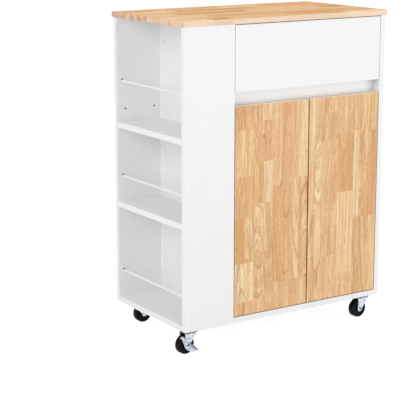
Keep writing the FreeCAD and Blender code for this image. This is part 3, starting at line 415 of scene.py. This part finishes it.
# Strips of each door from its left edge, with the staves of each from the top down. Both are shares of the
# whole door, and the second number of each stave is its tone.
left_door_strips = [
    (31, [(64, 0.62), (122, 0.40), (106, 0.58), (122, 0.72), (106, 0.15), (35, 0.60)]),
    (31, [(64, 0.55), (122, 0.30), (106, 0.70), (122, 0.25), (106, 0.15), (35, 0.60)]),
    (29, [(43, 0.35), (107, 0.60), (112, 0.65), (128, 0.30), (165, 0.50)]),
    (29, [(43, 0.22), (107, 0.55), (112, 0.18), (128, 0.38), (165, 0.45)]),
    (57, [(221, 0.62), (259, 0.68), (75, 0.50)]),
    (29, [(204, 0.55), (277, 0.35), (74, 0.60)]),
    (29, [(204, 0.28), (277, 0.42), (74, 0.55)])]
right_door_strips = [
    (22, [(170, 0.20), (115, 0.50), (153, 0.25), (117, 0.50)]),
    (21, [(170, 0.30), (115, 0.15), (153, 0.30), (117, 0.40)]),
    (55, [(42, 0.45), (75, 0.62), (173, 0.50), (60, 0.42), (84, 0.64), (121, 0.45)]),
    (55, [(105, 0.58), (159, 0.70), (228, 0.25), (63, 0.50)]),
    (20, [(97, 0.50), (241, 0.10), (217, 0.50)]),
    (35, [(97, 0.45), (241, 0.60), (217, 0.55)]),
    (27, [(100, 0.50), (238, 0.70), (217, 0.40)])]
left_door_knots = [(-0.0786, 0.552, 0.0026, 0.85), (-0.128, 0.545, 0.014, 0.0), (-0.02, 0.42, 0.006, 0.25)]
right_door_knots = [(0.115, 0.535, 0.012, 0.12)]
for name, strips, knots, seed in (("left_door", left_door_strips, left_door_knots, 23),
                                  ("right_door", right_door_strips, right_door_knots, 37)):
    low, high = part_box(name)
    # The doors' narrow sides get a dark brown rim, painted shade for the gaps round the doors.
    door_wood = rubberwood(name + "_rubberwood", "X", "Z", (low.x, high.z, low.y),
                           (high.x - low.x, low.z - high.z), strips, seed, "54331E", 0.2, knots)
    # The upper edge, over which the hand goes in, is painted paler: a painted highlight where it faces up.
    painted_top_highlight = door_wood.spread(door_wood.axes(door_wood.outward)[2], 0.5, 0.8)
    oiled_and_shaded = door_wood.shader.inputs["Base Color"].links[0].from_socket
    door_wood.set(door_wood.shader, {"Base Color": door_wood.blend(painted_top_highlight, oiled_and_shaded, linear("FFF0DA"))})
    door_wood.dress(name)


# Cabinet boards: particle board faced with white melamine, with the same white band on every edge.
# They are cut square and joined by cams and dowels, so no fixing shows on the front.
def solids_of(node):
    """Corner points of each separate solid of a CAD node."""
    bm = bmesh.new()
    bm.from_mesh(frame["nodes"][node].data)
    bmesh.ops.remove_doubles(bm, verts=bm.verts, dist=0.00001)
    left = set(bm.verts)
    groups = []
    for first in bm.verts:
        if first not in left:
            continue
        left.remove(first)
        waiting = [first]
        group = []
        while waiting:
            corner = waiting.pop()
            group.append(corner.co.copy())
            for edge in corner.link_edges:
                other = edge.other_vert(corner)
                if other in left:
                    left.remove(other)
                    waiting.append(other)
        groups.append(group)
    bm.free()
    return groups


chip_depth = 0.012
socket_lift = 0.002
socket_radius = 0.0042
pearl_depth = 0.00003
melamine = Finish("white_melamine", Specular_IOR_Level=0.4)
mottle = melamine.noise(melamine.place, 14.0, 3.0, 0.6)
pearl = melamine.noise(melamine.place, 1400.0, 2.0, 0.6)
melamine_colour = melamine.ramp(mottle, [(0.3, linear("F1F1F2")), (0.7, linear("F3F3F3"))])

# Inside a drilled hole or a groove, away from all six faces of the board, its brown chips lie bare, painted
# darker as the shade inside.
inward = 1.0
for share in melamine.axes(melamine.share):
    inward = melamine.math("MINIMUM", inward, share)
    inward = melamine.math("MINIMUM", inward, melamine.math("SUBTRACT", 1.0, share))
chips_and_shade = melamine.math("GREATER_THAN", inward, chip_depth)

# Each guard rail rests low in its socket, and the mouth of the socket over the rail is painted dark as its
# shadow.
board_x, board_y, board_z = melamine.axes(melamine.place)
between_panels = melamine.math("LESS_THAN", melamine.math("ABSOLUTE", board_y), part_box("guard_rails")[1].y)
for rod in solids_of("guard_rails"):
    middle = sum(rod, Vector()) / len(rod)
    aside = melamine.math("SUBTRACT", board_x, middle.x)
    above = melamine.math("SUBTRACT", board_z, middle.z + socket_lift)
    away = melamine.length(melamine.vector(aside, above, 0.0))
    socket_shade = melamine.math("LESS_THAN", away, socket_radius)
    chips_and_shade = melamine.math("MAXIMUM", chips_and_shade, melamine.math("MULTIPLY", socket_shade, between_panels))
chips = melamine.noise(melamine.place, 700.0, 3.0, 0.7)
# The chip colour is darker than bare board: painted shade inside the holes and grooves.
chip_and_shade_colour = melamine.ramp(chips, [(0.35, linear("3F2F20")), (0.6, linear("6E5438"))])
melamine.set(melamine.shader, {"Base Color": melamine.blend(chips_and_shade, melamine_colour, chip_and_shade_colour),
                               "Roughness": melamine.spread(mottle, 0.3, 0.7, 0.36, 0.44)})
melamine.bump(pearl, pearl_depth, 0.35)
for node in ("bottom_panel", "front_panel", "rear_panel", "divider_panel", "right_side_panel",
             "lower_side_shelf", "upper_side_shelf", "cupboard_shelf", "front_stretcher", "rear_stretcher",
             "drawer_front", "drawer_left_side", "drawer_right_side", "drawer_back"):
    melamine.dress(node)

# The rail behind the finger gap is painted whiter than the rest and glows faintly: painted light that
# lifts the shade in the gap.
painted_light_melamine = Finish("painted_light_melamine", Specular_IOR_Level=0.4, Emission_Strength=0.07)
painted_light_melamine.set(painted_light_melamine.shader, {"Emission Color": linear("E6F0FF")})
bright_mottle = painted_light_melamine.noise(painted_light_melamine.place, 14.0, 3.0, 0.6)
painted_light_colour = painted_light_melamine.ramp(bright_mottle, [(0.3, linear("FCFCFB")), (0.7, linear("FFFFFF"))])
bright_roughness = painted_light_melamine.spread(bright_mottle, 0.3, 0.7, 0.36, 0.44)
painted_light_melamine.set(painted_light_melamine.shader, {"Base Color": painted_light_colour, "Roughness": bright_roughness})
painted_light_melamine.bump(painted_light_melamine.noise(painted_light_melamine.place, 1400.0, 2.0, 0.6), pearl_depth, 0.35)
painted_light_melamine.dress("middle_rail")


# Back board and drawer bottom: 3 mm hardboard, slid into grooves. The side that shows when the cupboard or
# the drawer is open is painted white, and the other is bare brown fibre with the print of the press screen.
hardboard = Finish("hardboard", Specular_IOR_Level=0.25, Roughness=0.7)
hardboard_x, hardboard_y, hardboard_z = hardboard.axes(hardboard.place)
hardboard_facing = hardboard.axes(hardboard.outward)
bare = hardboard.math("SUBTRACT", hardboard_facing[1], hardboard_facing[2])
bare = hardboard.spread(bare, 0.3, 0.6)
screen_fineness = 4200.0
screen_across = hardboard.math("SINE", hardboard.math("MULTIPLY", hardboard_x, screen_fineness))
screen_up = hardboard.math("ADD", hardboard_y, hardboard_z)
screen_up = hardboard.math("SINE", hardboard.math("MULTIPLY", screen_up, screen_fineness))
screen = hardboard.math("MULTIPLY", screen_across, screen_up)
fibre_spots = hardboard.noise(hardboard.place, 420.0, 4.0, 0.65)
fibre = hardboard.ramp(fibre_spots, [(0.3, linear("7F5D40")), (0.55, linear("8B694A")),
                                     (0.75, linear("967353"))])
hardboard.set(hardboard.shader, {"Base Color": hardboard.blend(bare, linear("F1F1F0"), fibre)})
screen_relief = hardboard.math("MULTIPLY_ADD", screen, 0.5, 0.5)
hardboard.bump(hardboard.math("MULTIPLY", screen_relief, bare), 0.00025, 0.6)
hardboard.dress("back_board")
hardboard.dress("drawer_bottom")


# Guard rails across the side bays: steel rod, powder-coated white, with both ends let into the boards.
# The drawer runners have the same coat on folded sheet steel.
def powder_coat(name, code, roughness):
    """White powder paint, with the faint ripple that it bakes to."""
    coat = Finish(name, Specular_IOR_Level=0.5)
    ripple = coat.noise(coat.place, 950.0, 2.0, 0.5)
    tint = coat.noise(coat.place, 30.0, 2.0, 0.5)
    coat.set(coat.shader, {"Base Color": coat.blend(coat.spread(tint, 0.35, 0.65, 0.0, 0.25), linear(code),
                                                    linear("E2E3E4")),
                           "Roughness": coat.spread(tint, 0.3, 0.7, roughness, roughness + 0.08)})
    coat.bump(ripple, 0.00006, 0.5)
    return coat


rail_coat = powder_coat("white_rail_coat", "F2F3F4", 0.26)
rail_coat.dress("guard_rails")
runner_coat = powder_coat("white_runner_coat", "ECEDEC", 0.32)
for node in ("left_cabinet_runner", "right_cabinet_runner", "left_drawer_runner", "right_drawer_runner"):
    runner_coat.dress(node)


# Rollers of the drawer runners: moulded nylon, slightly see-through at the rim and waxy to the touch. The
# front pair turns on rivets in the cabinet's runners, and the rear pair on rivets in the drawer's.
nylon = Finish("white_nylon", Roughness=0.38, Specular_IOR_Level=0.45, Subsurface_Weight=0.15,
               Subsurface_Scale=0.002)
nylon_flow = nylon.noise(nylon.place, 180.0, 2.0, 0.5)
nylon_colour = nylon.ramp(nylon_flow, [(0.3, linear("E9E8E2")), (0.7, linear("F1F0EB"))])
nylon.set(nylon.shader, {"Base Color": nylon_colour})
nylon.bump(nylon.noise(nylon.place, 1600.0, 2.0, 0.5), 0.00003, 0.4)
nylon.dress("front_runner_rollers")
nylon.dress("rear_runner_rollers")


# Joining hardware inside the boards: die-cast zinc cams with white plastic caps over those in the side
# bays, plated bolts, and fluted beech dowels.
def metal(name, pale, dark, roughness, cloud_scale, mark_scale):
    """Bare or plated metal: a cloudy tone from its making, and fine marks from handling."""
    plate = Finish(name, Metallic=1.0)
    cloud = plate.noise(plate.place, cloud_scale, 3.0, 0.6)
    marks = plate.noise(plate.stretched((1.0, 0.25, 1.0)), mark_scale, 2.0, 0.6)
    plate.colour = plate.ramp(cloud, [(0.32, linear(dark)), (0.68, linear(pale))])
    plate.set(plate.shader, {"Base Color": plate.colour,
                             "Roughness": plate.spread(marks, 0.3, 0.7, roughness - 0.06, roughness + 0.08)})
    plate.bump(marks, 0.00002, 0.4)
    return plate


die_cast = metal("die_cast_zinc", "A9ABAE", "8C8E92", 0.42, 220.0, 900.0)
die_cast.dress("cam_locks")
nickel = metal("nickel_plate", "CFCBC4", "B9B5AE", 0.2, 120.0, 1500.0)
nickel.dress("cam_bolts")

cap_plastic = Finish("white_cap_plastic", Roughness=0.4, Specular_IOR_Level=0.4)
cap_flow = cap_plastic.noise(cap_plastic.place, 240.0, 2.0, 0.5)
cap_colour = cap_plastic.ramp(cap_flow, [(0.3, linear("E8E9EA")), (0.7, linear("EFEFEF"))])
cap_plastic.set(cap_plastic.shader, {"Base Color": cap_colour})
cap_plastic.bump(cap_plastic.noise(cap_plastic.place, 1800.0, 2.0, 0.5), 0.00004, 0.4)
cap_plastic.dress("cam_caps")

dowel_wood = Finish("beech_dowels", Roughness=0.6, Specular_IOR_Level=0.25)
dowel_fibres = dowel_wood.noise(dowel_wood.stretched((0.2, 1.0, 1.0)), 900.0, 3.0, 0.6)
dowel_colour = dowel_wood.ramp(dowel_fibres, [(0.3, linear("C79A6C")), (0.7, linear("E0BC92"))])
dowel_wood.set(dowel_wood.shader, {"Base Color": dowel_colour})
dowel_wood.bump(dowel_fibres, 0.0001, 0.6)
dowel_wood.dress("dowels")


# Shelf pins and concealed hinges: pressed steel with bright nickel plating. The shelves lie loose on the
# pins, and each door hangs on two hinges.
for node in ("shelf_pins", "hinge_arms", "hinge_plates", "left_hinge_cups", "right_hinge_cups",
             "left_hinge_links", "right_hinge_links"):
    nickel.dress(node)


# Screws: zinc-plated steel. Each has a rounded head with a cross recess and a threaded shank. They hold
# the worktop, the upright boards on the base, the runners and hinge plates, the drawer and the casters.
zinc = metal("zinc_plate", "E4EAF1", "7C8692", 0.3, 300.0, 1200.0)


def add_piece(name, bm, finish, body, slot, *nodes):
    """Turns a built mesh into a piece of the cart that stands for the given CAD nodes."""
    bmesh.ops.recalc_face_normals(bm, faces=bm.faces)
    mesh = bpy.data.meshes.new(name)
    bm.to_mesh(mesh)
    bm.free()
    mesh.materials.append(finish.material)
    mesh.shade_smooth()
    mesh.set_sharp_from_angle(angle=math.radians(32.0))
    piece = bpy.data.objects.new(name, mesh)
    bpy.context.scene.collection.objects.link(piece)
    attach(piece, body)
    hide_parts(*nodes)
    return piece


def part_painted(piece, finish, inside):
    """Gives the faces whose middle lies inside the given region another finish."""
    piece.data.materials.append(finish.material)
    for face in piece.data.polygons:
        if inside(face.center):
            face.material_index = 1


def ring_of(bm, place, radius, height, segments):
    """Points of one circle of a turned form, or its single point where the radius is nought."""
    points = []
    for index in range(segments if radius > 0.0 else 1):
        angle = 2.0 * math.pi * index / segments
        spot = Vector((radius * math.cos(angle), radius * math.sin(angle), height))
        points.append(bm.verts.new(place @ spot))
    return points


def join_rings(bm, first, second):
    """Faces between two rings, either of which may be a single point."""
    count = max(len(first), len(second))
    for index in range(count):
        corners = []
        for ring, spot in ((first, index), (first, index + 1), (second, index + 1), (second, index)):
            corner = ring[spot % len(ring)]
            if corner not in corners:
                corners.append(corner)
        bm.faces.new(corners)


def turned(bm, place, profile, segments=32, closed=False):
    """Turned form about the Z axis of a place, from pairs of radius and height."""
    rings = [ring_of(bm, place, radius, height, segments) for radius, height in profile]
    for first, second in zip(rings, rings[1:]):
        join_rings(bm, first, second)
    if closed:
        join_rings(bm, rings[-1], rings[0])
    return rings


thread_pitch, thread_root, thread_start, point_radius = 0.65, 0.76, 1.2, 0.3
head_flat = 0.62
recess = ((0.52, 0.12, 1.0), (0.3, 0.07, 0.25))


def screw(bm, points):
    """A screw in the room of a plain one: the longest side of its box is its axis."""
    low = Vector([min(point[k] for point in points) for k in range(3)])
    high = Vector([max(point[k] for point in points) for k in range(3)])
    axis = max(range(3), key=lambda k: high[k] - low[k])
    middle = (low + high) / 2.0
    reach = {}
    for point in points:
        away = point - middle
        away[axis] = 0.0
        height = round(point[axis], 5)
        reach[height] = max(reach.get(height, 0.0), away.length)
    head = max(reach.values())
    head_heights = [height for height, radius in reach.items() if radius > 0.95 * head]
    outward = 1.0 if sum(head_heights) / len(head_heights) > middle[axis] else -1.0
    tip = low[axis] if outward > 0.0 else high[axis]
    top = high[axis] if outward > 0.0 else low[axis]
    shank = min(reach.values())
    rise = max(head_heights) - min(head_heights)
    plain = head < 1.2 * shank
    seat = top if plain else top - outward * rise
    direction = Vector([outward if k == axis else 0.0 for k in range(3)])
    start = middle.copy()
    start[axis] = seat
    place = Matrix.Translation(start) @ direction.to_track_quat("Z", "Y").to_matrix().to_4x4()
    length = abs(seat - tip)
    pitch = thread_pitch * shank
    profile = [(0.0, -length), (point_radius * shank, -length + 0.2 * shank)]
    height = -length + thread_start * shank
    while height < -pitch:
        profile.append((thread_root * shank, height))
        profile.append((shank, height + 0.4 * pitch))
        height += pitch
    profile.append((shank, 0.0))
    if plain:
        turned(bm, place, profile + [(0.0, 0.0)], 16)
        return
    profile += [(head, 0.0), (head, 0.3 * rise), (0.95 * head, 0.62 * rise), (0.82 * head, 0.87 * rise),
                (head_flat * head, rise)]
    rim = turned(bm, place, profile, 24)[-1]
    loops = [rim]
    for arm_share, half_share, height_share in recess:
        arm, half, height = arm_share * head, half_share * head, height_share * rise
        quarter = [(arm, -half), (arm, half), (half, half)]
        cross = []
        for turn in range(4):
            for x, y in quarter:
                for spin in range(turn):
                    x, y = -y, x
                cross.append(bm.verts.new(place @ Vector((x, y, height))))
        loops.append(cross)
    join_rings(bm, loops[1], loops[2])
    bm.faces.new(loops[2])
    edges = []
    for loop in loops[:2]:
        for first, second in zip(loop, loop[1:] + loop[:1]):
            edges.append(bm.edges.get((first, second)) or bm.edges.new((first, second)))
    bmesh.ops.triangle_fill(bm, use_beauty=True, edges=edges)


for node, body in (("worktop_screws", "cabinet"), ("base_screws", "cabinet"), ("fitting_screws", "cabinet"),
                   ("drawer_screws", "drawer"), ("caster_screws", "cabinet")):
    screws = bmesh.new()
    for points in solids_of(node):
        screw(screws, points)
    add_piece(node + "_cross_headed", screws, zinc, body, "zinc_steel", node)


# Casters: zinc-plated plates screwed under the bottom panel. Each has a rolled lip round its ring of
# bearing balls, and a rivet on which the fork swivels.
def offset_loop(points, distance):
    """The closed outline moved inwards, where it runs counter-clockwise."""
    moved = []
    for before, here, after in zip(points[-1:] + points[:-1], points, points[1:] + points[:1]):
        one = Vector((here[1] - before[1], before[0] - here[0])).normalized()
        two = Vector((after[1] - here[1], here[0] - after[0])).normalized()
        out = one + two
        out *= 1.0 / max(0.5, out.dot(one))
        moved.append((here[0] - out.x * distance, here[1] - out.y * distance))
    return moved


def pressed(bm, place, outline, holes, thickness, ease=0.0002):
    """Sheet metal blank in the XY plane of a place, with holes and eased edges."""
    levels = [(0.0, ease), (ease, 0.0), (thickness - ease, 0.0), (thickness, ease)]
    faces = {0: [], 3: []}
    for number, loop in enumerate([outline] + holes):
        rings = []
        for height, inset in levels:
            shifted = offset_loop(loop, inset if number == 0 else -inset) if inset else loop
            rings.append([bm.verts.new(place @ Vector((x, y, height))) for x, y in shifted])
        for first, second in zip(rings, rings[1:]):
            join_rings(bm, first, second)
        for level in faces:
            ring = rings[level]
            for first, second in zip(ring, ring[1:] + ring[:1]):
                faces[level].append(bm.edges.get((first, second)))
    for edges in faces.values():
        bmesh.ops.triangle_fill(bm, use_beauty=True, edges=edges)


def arc(centre, radius, start, end, steps):
    """Points along an arc, with its angles in degrees."""
    points = []
    for index in range(steps + 1):
        angle = math.radians(start + (end - start) * index / steps)
        points.append((centre[0] + radius * math.cos(angle), centre[1] + radius * math.sin(angle)))
    return points


def circle(centre, radius, steps=24):
    return arc(centre, radius, 0.0, 360.0, steps)[:-1]


def rounded(left, right, low, high, radius):
    """Rectangle with rounded corners."""
    points = []
    for x, y, start in ((right - radius, low + radius, -90.0), (right - radius, high - radius, 0.0),
                        (left + radius, high - radius, 90.0), (left + radius, low + radius, 180.0)):
        points += arc((x, y), radius, start, start + 90.0, 6)
    return points


joints = {joint["name"]: joint for joint in frame["joints"]}
corners = ("front_left", "front_right", "rear_left", "rear_right")
swivels = {}
for corner in corners:
    swivel = Vector(joints[corner + "_swivel"]["pos_m"])
    hub = Vector(joints[corner + "_wheel_spin"]["pos_m"])
    heading = math.atan2(hub.y - swivel.y, hub.x - swivel.x)
    swivels[corner] = Matrix.Translation((swivel.x, swivel.y, 0.0)) @ Matrix.Rotation(heading, 4, "Z")
trail = math.hypot(hub.x - swivel.x, hub.y - swivel.y)
axle_height = hub.z

# A face that lies past an edge by more than a hair belongs to what is beyond it.
hair = 0.0001
plate_low, plate_high = 0.062, 0.064
plate_half, plate_corner = 0.019, 0.004
screw_reach, screw_hole, rivet_hole = 0.0135, 0.0021, 0.0062
rolled_lip = [(0.0143, plate_low), (0.0143, 0.0602), (0.0147, 0.0598), (0.0152, 0.0598), (0.0155, 0.0601),
              (0.0155, 0.0614), (0.0161, plate_low)]
swivel_rivet = [(0.0, 0.0551), (0.0035, 0.0552), (0.0058, 0.0556), (0.0065, 0.0562), (0.0065, 0.0566),
                (0.004, 0.0566), (0.004, 0.063), (0.006, 0.063), (0.006, plate_high), (0.0, plate_high)]
plates = bmesh.new()
pins = bmesh.new()
for corner in corners:
    square = Matrix.Translation((*swivels[corner].translation.xy, 0.0))
    screws_at = (-screw_reach, screw_reach)
    holes = [circle((x, y), screw_hole) for x in screws_at for y in screws_at]
    holes.append(circle((0.0, 0.0), rivet_hole))
    pressed(plates, square @ Matrix.Translation((0.0, 0.0, plate_low)),
            rounded(-plate_half, plate_half, -plate_half, plate_half, plate_corner), holes,
            plate_high - plate_low)
    turned(plates, square, rolled_lip, 48, closed=True)
    turned(pins, square, swivel_rivet, 32)
shade_steel = metal("painted_shade_steel", "34363A", "1E1F22", 0.4, 300.0, 900.0)
top_plates = add_piece("caster_top_plates", plates, zinc, "cabinet", "zinc_steel", "caster_plates")
# The lip's faces under the plate are painted near black, a painted shade for the gap over the fork.
part_painted(top_plates, shade_steel, lambda spot: spot.z < plate_low - hair)
add_piece("caster_swivel_rivets", pins, zinc, "cabinet", "zinc_steel", "caster_kingpins")
bearing = metal("bearing_steel", "C9CCD0", "B4B7BB", 0.14, 400.0, 1800.0)
bearing.dress("caster_balls")


# Forks: one strip of zinc-plated steel folded into a top and two cheeks, which narrow to the axle. The
# swivel rivet holds the top up against the balls. The fold at the top is painted near black, a painted
# shade for the gap under the plate.
def bend(bm, place, near, far, centre, inner, outer, start, end):
    """Rounded fold in sheet metal, along X of a place from near to far, about a centre in its YZ plane."""
    inside = arc(centre, inner, start, end, 6)
    outside = arc(centre, outer, end, start, 6)
    rings = [[bm.verts.new(place @ Vector((x, y, z))) for y, z in inside + outside] for x in (near, far)]
    join_rings(bm, rings[0], rings[1])
    for ring in rings:
        bm.faces.new(ring)


fork_outer, fork_steel, fold = 0.013, 0.002, 0.0026
fork_back, fork_front, cheek_back, cheek_front = -0.019, 0.025, -0.016, 0.0235
fork_top, shade_depth, shade_edge = 0.0589, 0.0036, 0.0004
kingpin_hole, axle_hole, axle_land = 0.00405, 0.0031, 0.008
fork_zinc = metal("top_shaded_zinc_plate", "E4EAF1", "7C8692", 0.3, 300.0, 1200.0)
fork_height = fork_zinc.axes(fork_zinc.place)[2]
# Near the fork's top the zinc is painted near black: painted shade under the plate.
oiled_and_shaded = fork_zinc.spread(fork_height, fork_top - shade_depth - shade_edge, fork_top - shade_depth)
fork_zinc.set(fork_zinc.shader, {"Base Color": fork_zinc.blend(oiled_and_shaded, fork_zinc.colour, linear("222326"))})
upright = Matrix(((1, 0, 0, 0), (0, 0, -1, 0), (0, 1, 0, 0), (0, 0, 0, 1)))
for corner in corners:
    fork = bmesh.new()
    place = swivels[corner]
    pressed(fork, place @ Matrix.Translation((0.0, 0.0, fork_top - fork_steel)),
            rounded(fork_back, fork_front, fold - fork_outer, fork_outer - fold, 0.002),
            [circle((0.0, 0.0), kingpin_hole)], fork_steel)
    cheek = [(trail - axle_land, axle_height), *arc((trail, axle_height), axle_land, 180.0, 360.0, 18)[1:],
             (cheek_front, fork_top - fold), (cheek_back, fork_top - fold)]
    for side in (-1.0, 1.0):
        outer_face = fork_outer if side > 0.0 else -fork_outer + fork_steel
        pressed(fork, place @ Matrix.Translation((0.0, outer_face, 0.0)) @ upright, cheek,
                [circle((trail, axle_height), axle_hole)], fork_steel)
        turn = (90.0, 0.0) if side > 0.0 else (90.0, 180.0)
        bend(fork, place, cheek_back, cheek_front, (side * (fork_outer - fold), fork_top - fold),
             fold - fork_steel, fold, *turn)
    add_piece(corner + "_folded_fork", fork, fork_zinc, corner + "_caster", "zinc_steel", corner + "_fork")


# Wheels: hard black rubber, moulded in one piece. The sides are dished and smooth, and three shallow
# grooves run round the tread. Each wheel turns on its axle between the cheeks of the fork.
rubber = Finish("black_tyre", Specular_IOR_Level=0.1)
rubber_grain = rubber.noise(rubber.place, 700.0, 3.0, 0.6)
scuffs = rubber.noise(rubber.place, 90.0, 2.0, 0.6)
rubber_colour = rubber.ramp(scuffs, [(0.35, linear("040505")), (0.75, linear("0B0C0C"))])
rubber_roughness = rubber.spread(scuffs, 0.3, 0.7, 0.38, 0.55)
rubber.set(rubber.shader, {"Base Color": rubber_colour, "Roughness": rubber_roughness})
rubber.bump(rubber_grain, 0.00008, 0.5)
tread, groove = 0.025, 0.0005
half_wheel = [(axle_hole, 0.0), (axle_hole, 0.0096), (0.0035, 0.01), (0.0076, 0.01), (0.008, 0.0096),
              (0.0082, 0.0079), (0.0088, 0.0075), (0.0172, 0.0075), (0.0178, 0.0079), (0.018, 0.0095),
              (0.0185, 0.01), (tread - 0.0031, 0.01), (tread - 0.0016, 0.0095), (tread - groove, 0.0084),
              (tread, 0.0068), (tread, 0.0056), (tread - groove, 0.0054), (tread - groove, 0.0047),
              (tread, 0.0045), (tread, 0.0005), (tread - groove, 0.0003), (tread - groove, 0.0)]
sideways = Matrix.Rotation(math.radians(-90.0), 4, "X")
for corner in corners:
    tyre = bmesh.new()
    place = swivels[corner] @ Matrix.Translation((trail, 0.0, axle_height)) @ sideways
    far_half = [(radius, -height) for radius, height in half_wheel[-2:0:-1]]
    turned(tyre, place, half_wheel[1:] + far_half, 72, closed=True)
    add_piece(corner + "_black_wheel", tyre, rubber, corner + "_wheel", "black_tyre", corner + "_wheel")


# Brake levers, on two of the casters: pressed from zinc-plated strip, with a tab that goes down on the
# tread at one end and a pedal folded out at the other, painted darker as the shade on it. They turn on the
# axle and are shown pressed, as in the photograph.
lever_steel, lever_fold = 0.0015, 0.0008
lever_near, lever_far = 0.0133, 0.0148
lever_outline = [(0.0195, 0.0198), (0.013, 0.0245), (0.011, 0.017), (0.007, 0.0125), (0.0, 0.0095),
                 (-0.0075, 0.005), (-0.0285, -0.017), (-0.0275, -0.0195), (-0.022, -0.0213),
                 (-0.0153, -0.0205), (-0.008, -0.0178), (-0.0005, -0.0145), (0.005, -0.0105),
                 (0.01, -0.0035), (0.0125, 0.003), (0.0165, 0.013)]
tab_side, tab_reach = 0, 0.01
pedal_side, pedal_reach, pedal_corner = 5, 0.012, 0.0025


def folded_strip(bm, place, first, second, face, reach, side):
    """Strip folded square out of a plate, along one side of its outline. Side is the sign of the fold's
    direction across the plate, and face is the plate's surface on that side."""
    along = (Vector(second) - Vector(first)).normalized()
    inward = Vector((-along.y, along.x))
    edge = Vector(first) + inward * (lever_steel + lever_fold)
    axes = Matrix(((along.x, 0.0, inward.x, edge.x), (0.0, side, 0.0, face + side * lever_fold),
                   (along.y, 0.0, inward.y, edge.y), (0.0, 0.0, 0.0, 1.0)))
    length = (Vector(second) - Vector(first)).length
    bend(bm, place @ axes, 0.0, length, (0.0, 0.0), lever_fold, lever_fold + lever_steel, 180.0, 270.0)
    flat = place @ axes @ Matrix.Translation((0.0, 0.0, -lever_fold - lever_steel))
    wide = reach - lever_fold - lever_steel
    near_corner = (length - pedal_corner, wide - pedal_corner)
    far_corner = (pedal_corner, wide - pedal_corner)
    pressed(bm, flat, [(0.0, 0.0), (length, 0.0), *arc(near_corner, pedal_corner, 0.0, 90.0, 6),
                       *arc(far_corner, pedal_corner, 90.0, 180.0, 6)], [], lever_steel)


shaded_pedal = metal("shaded_pedal_zinc", "8A919A", "5A6068", 0.42, 420.0, 900.0)
for corner in ("front_left", "rear_right"):
    lever = bmesh.new()
    place = swivels[corner] @ Matrix.Translation((trail, 0.0, axle_height))
    trimmed = [Vector(point) for point in lever_outline]
    for index in (tab_side, pedal_side):
        first, second = lever_outline[index], lever_outline[index + 1]
        along = (Vector(second) - Vector(first)).normalized()
        inward = Vector((-along.y, along.x)) * (lever_steel + lever_fold)
        trimmed[index] = Vector(first) + inward
        trimmed[index + 1] = Vector(second) + inward
    blank = [(point.x, point.y) for point in trimmed]
    pressed(lever, place @ Matrix.Translation((0.0, lever_far, 0.0)) @ upright, blank,
            [circle((0.0, 0.0), axle_hole)], lever_steel)
    folded_strip(lever, place, *lever_outline[tab_side:tab_side + 2], lever_near, tab_reach, -1.0)
    folded_strip(lever, place, *lever_outline[pedal_side:pedal_side + 2], lever_far, pedal_reach, 1.0)
    foot_brake = add_piece(corner + "_foot_brake", lever, zinc, corner + "_brake", "zinc_steel",
                           corner + "_brake_lever")
    from_axle = place.inverted()
    # The pedal's faces are painted darker, a painted shade for its underside.
    part_painted(foot_brake, shaded_pedal, lambda spot: (from_axle @ spot).y > lever_far + lever_steel + hair)


# Axles: tubular steel rivets through fork and wheel, and through the lever where there is a brake. One end
# has a low head, and the other is flared over the steel round a hole painted near black as its shade.
bore, bore_floor, bore_clear = 0.0024, -0.01, 0.0003
rivet_head = [(0.003, -0.0131), (0.005, -0.0131), (0.005, -0.0139), (0.0042, -0.0145), (0.0, -0.0146)]
for corner in corners:
    axle = bmesh.new()
    place = swivels[corner] @ Matrix.Translation((trail, 0.0, axle_height)) @ sideways
    out = 0.0149 if corner in ("front_left", "rear_right") else 0.0131
    flared_end = [(bore, out), (0.0028, out + 0.0009), (0.0034, out + 0.0013), (0.0043, out + 0.0008),
                  (0.0045, out), (0.003, out)]
    turned(axle, place, [(bore, bore_floor), *flared_end, *rivet_head], 32)
    turned(axle, place, [(0.0, bore_floor), (bore, bore_floor)], 32)
    rivet = add_piece(corner + "_axle_rivet", axle, zinc, corner + "_caster", "zinc_steel", corner + "_axle")
    from_axle = place.inverted()
    # The bore's wall and floor are painted near black: painted shade in the hole.
    part_painted(rivet, shade_steel, lambda spot: (from_axle @ spot).xy.length < bore + bore_clear
                 and (from_axle @ spot).z > bore_floor - hair)
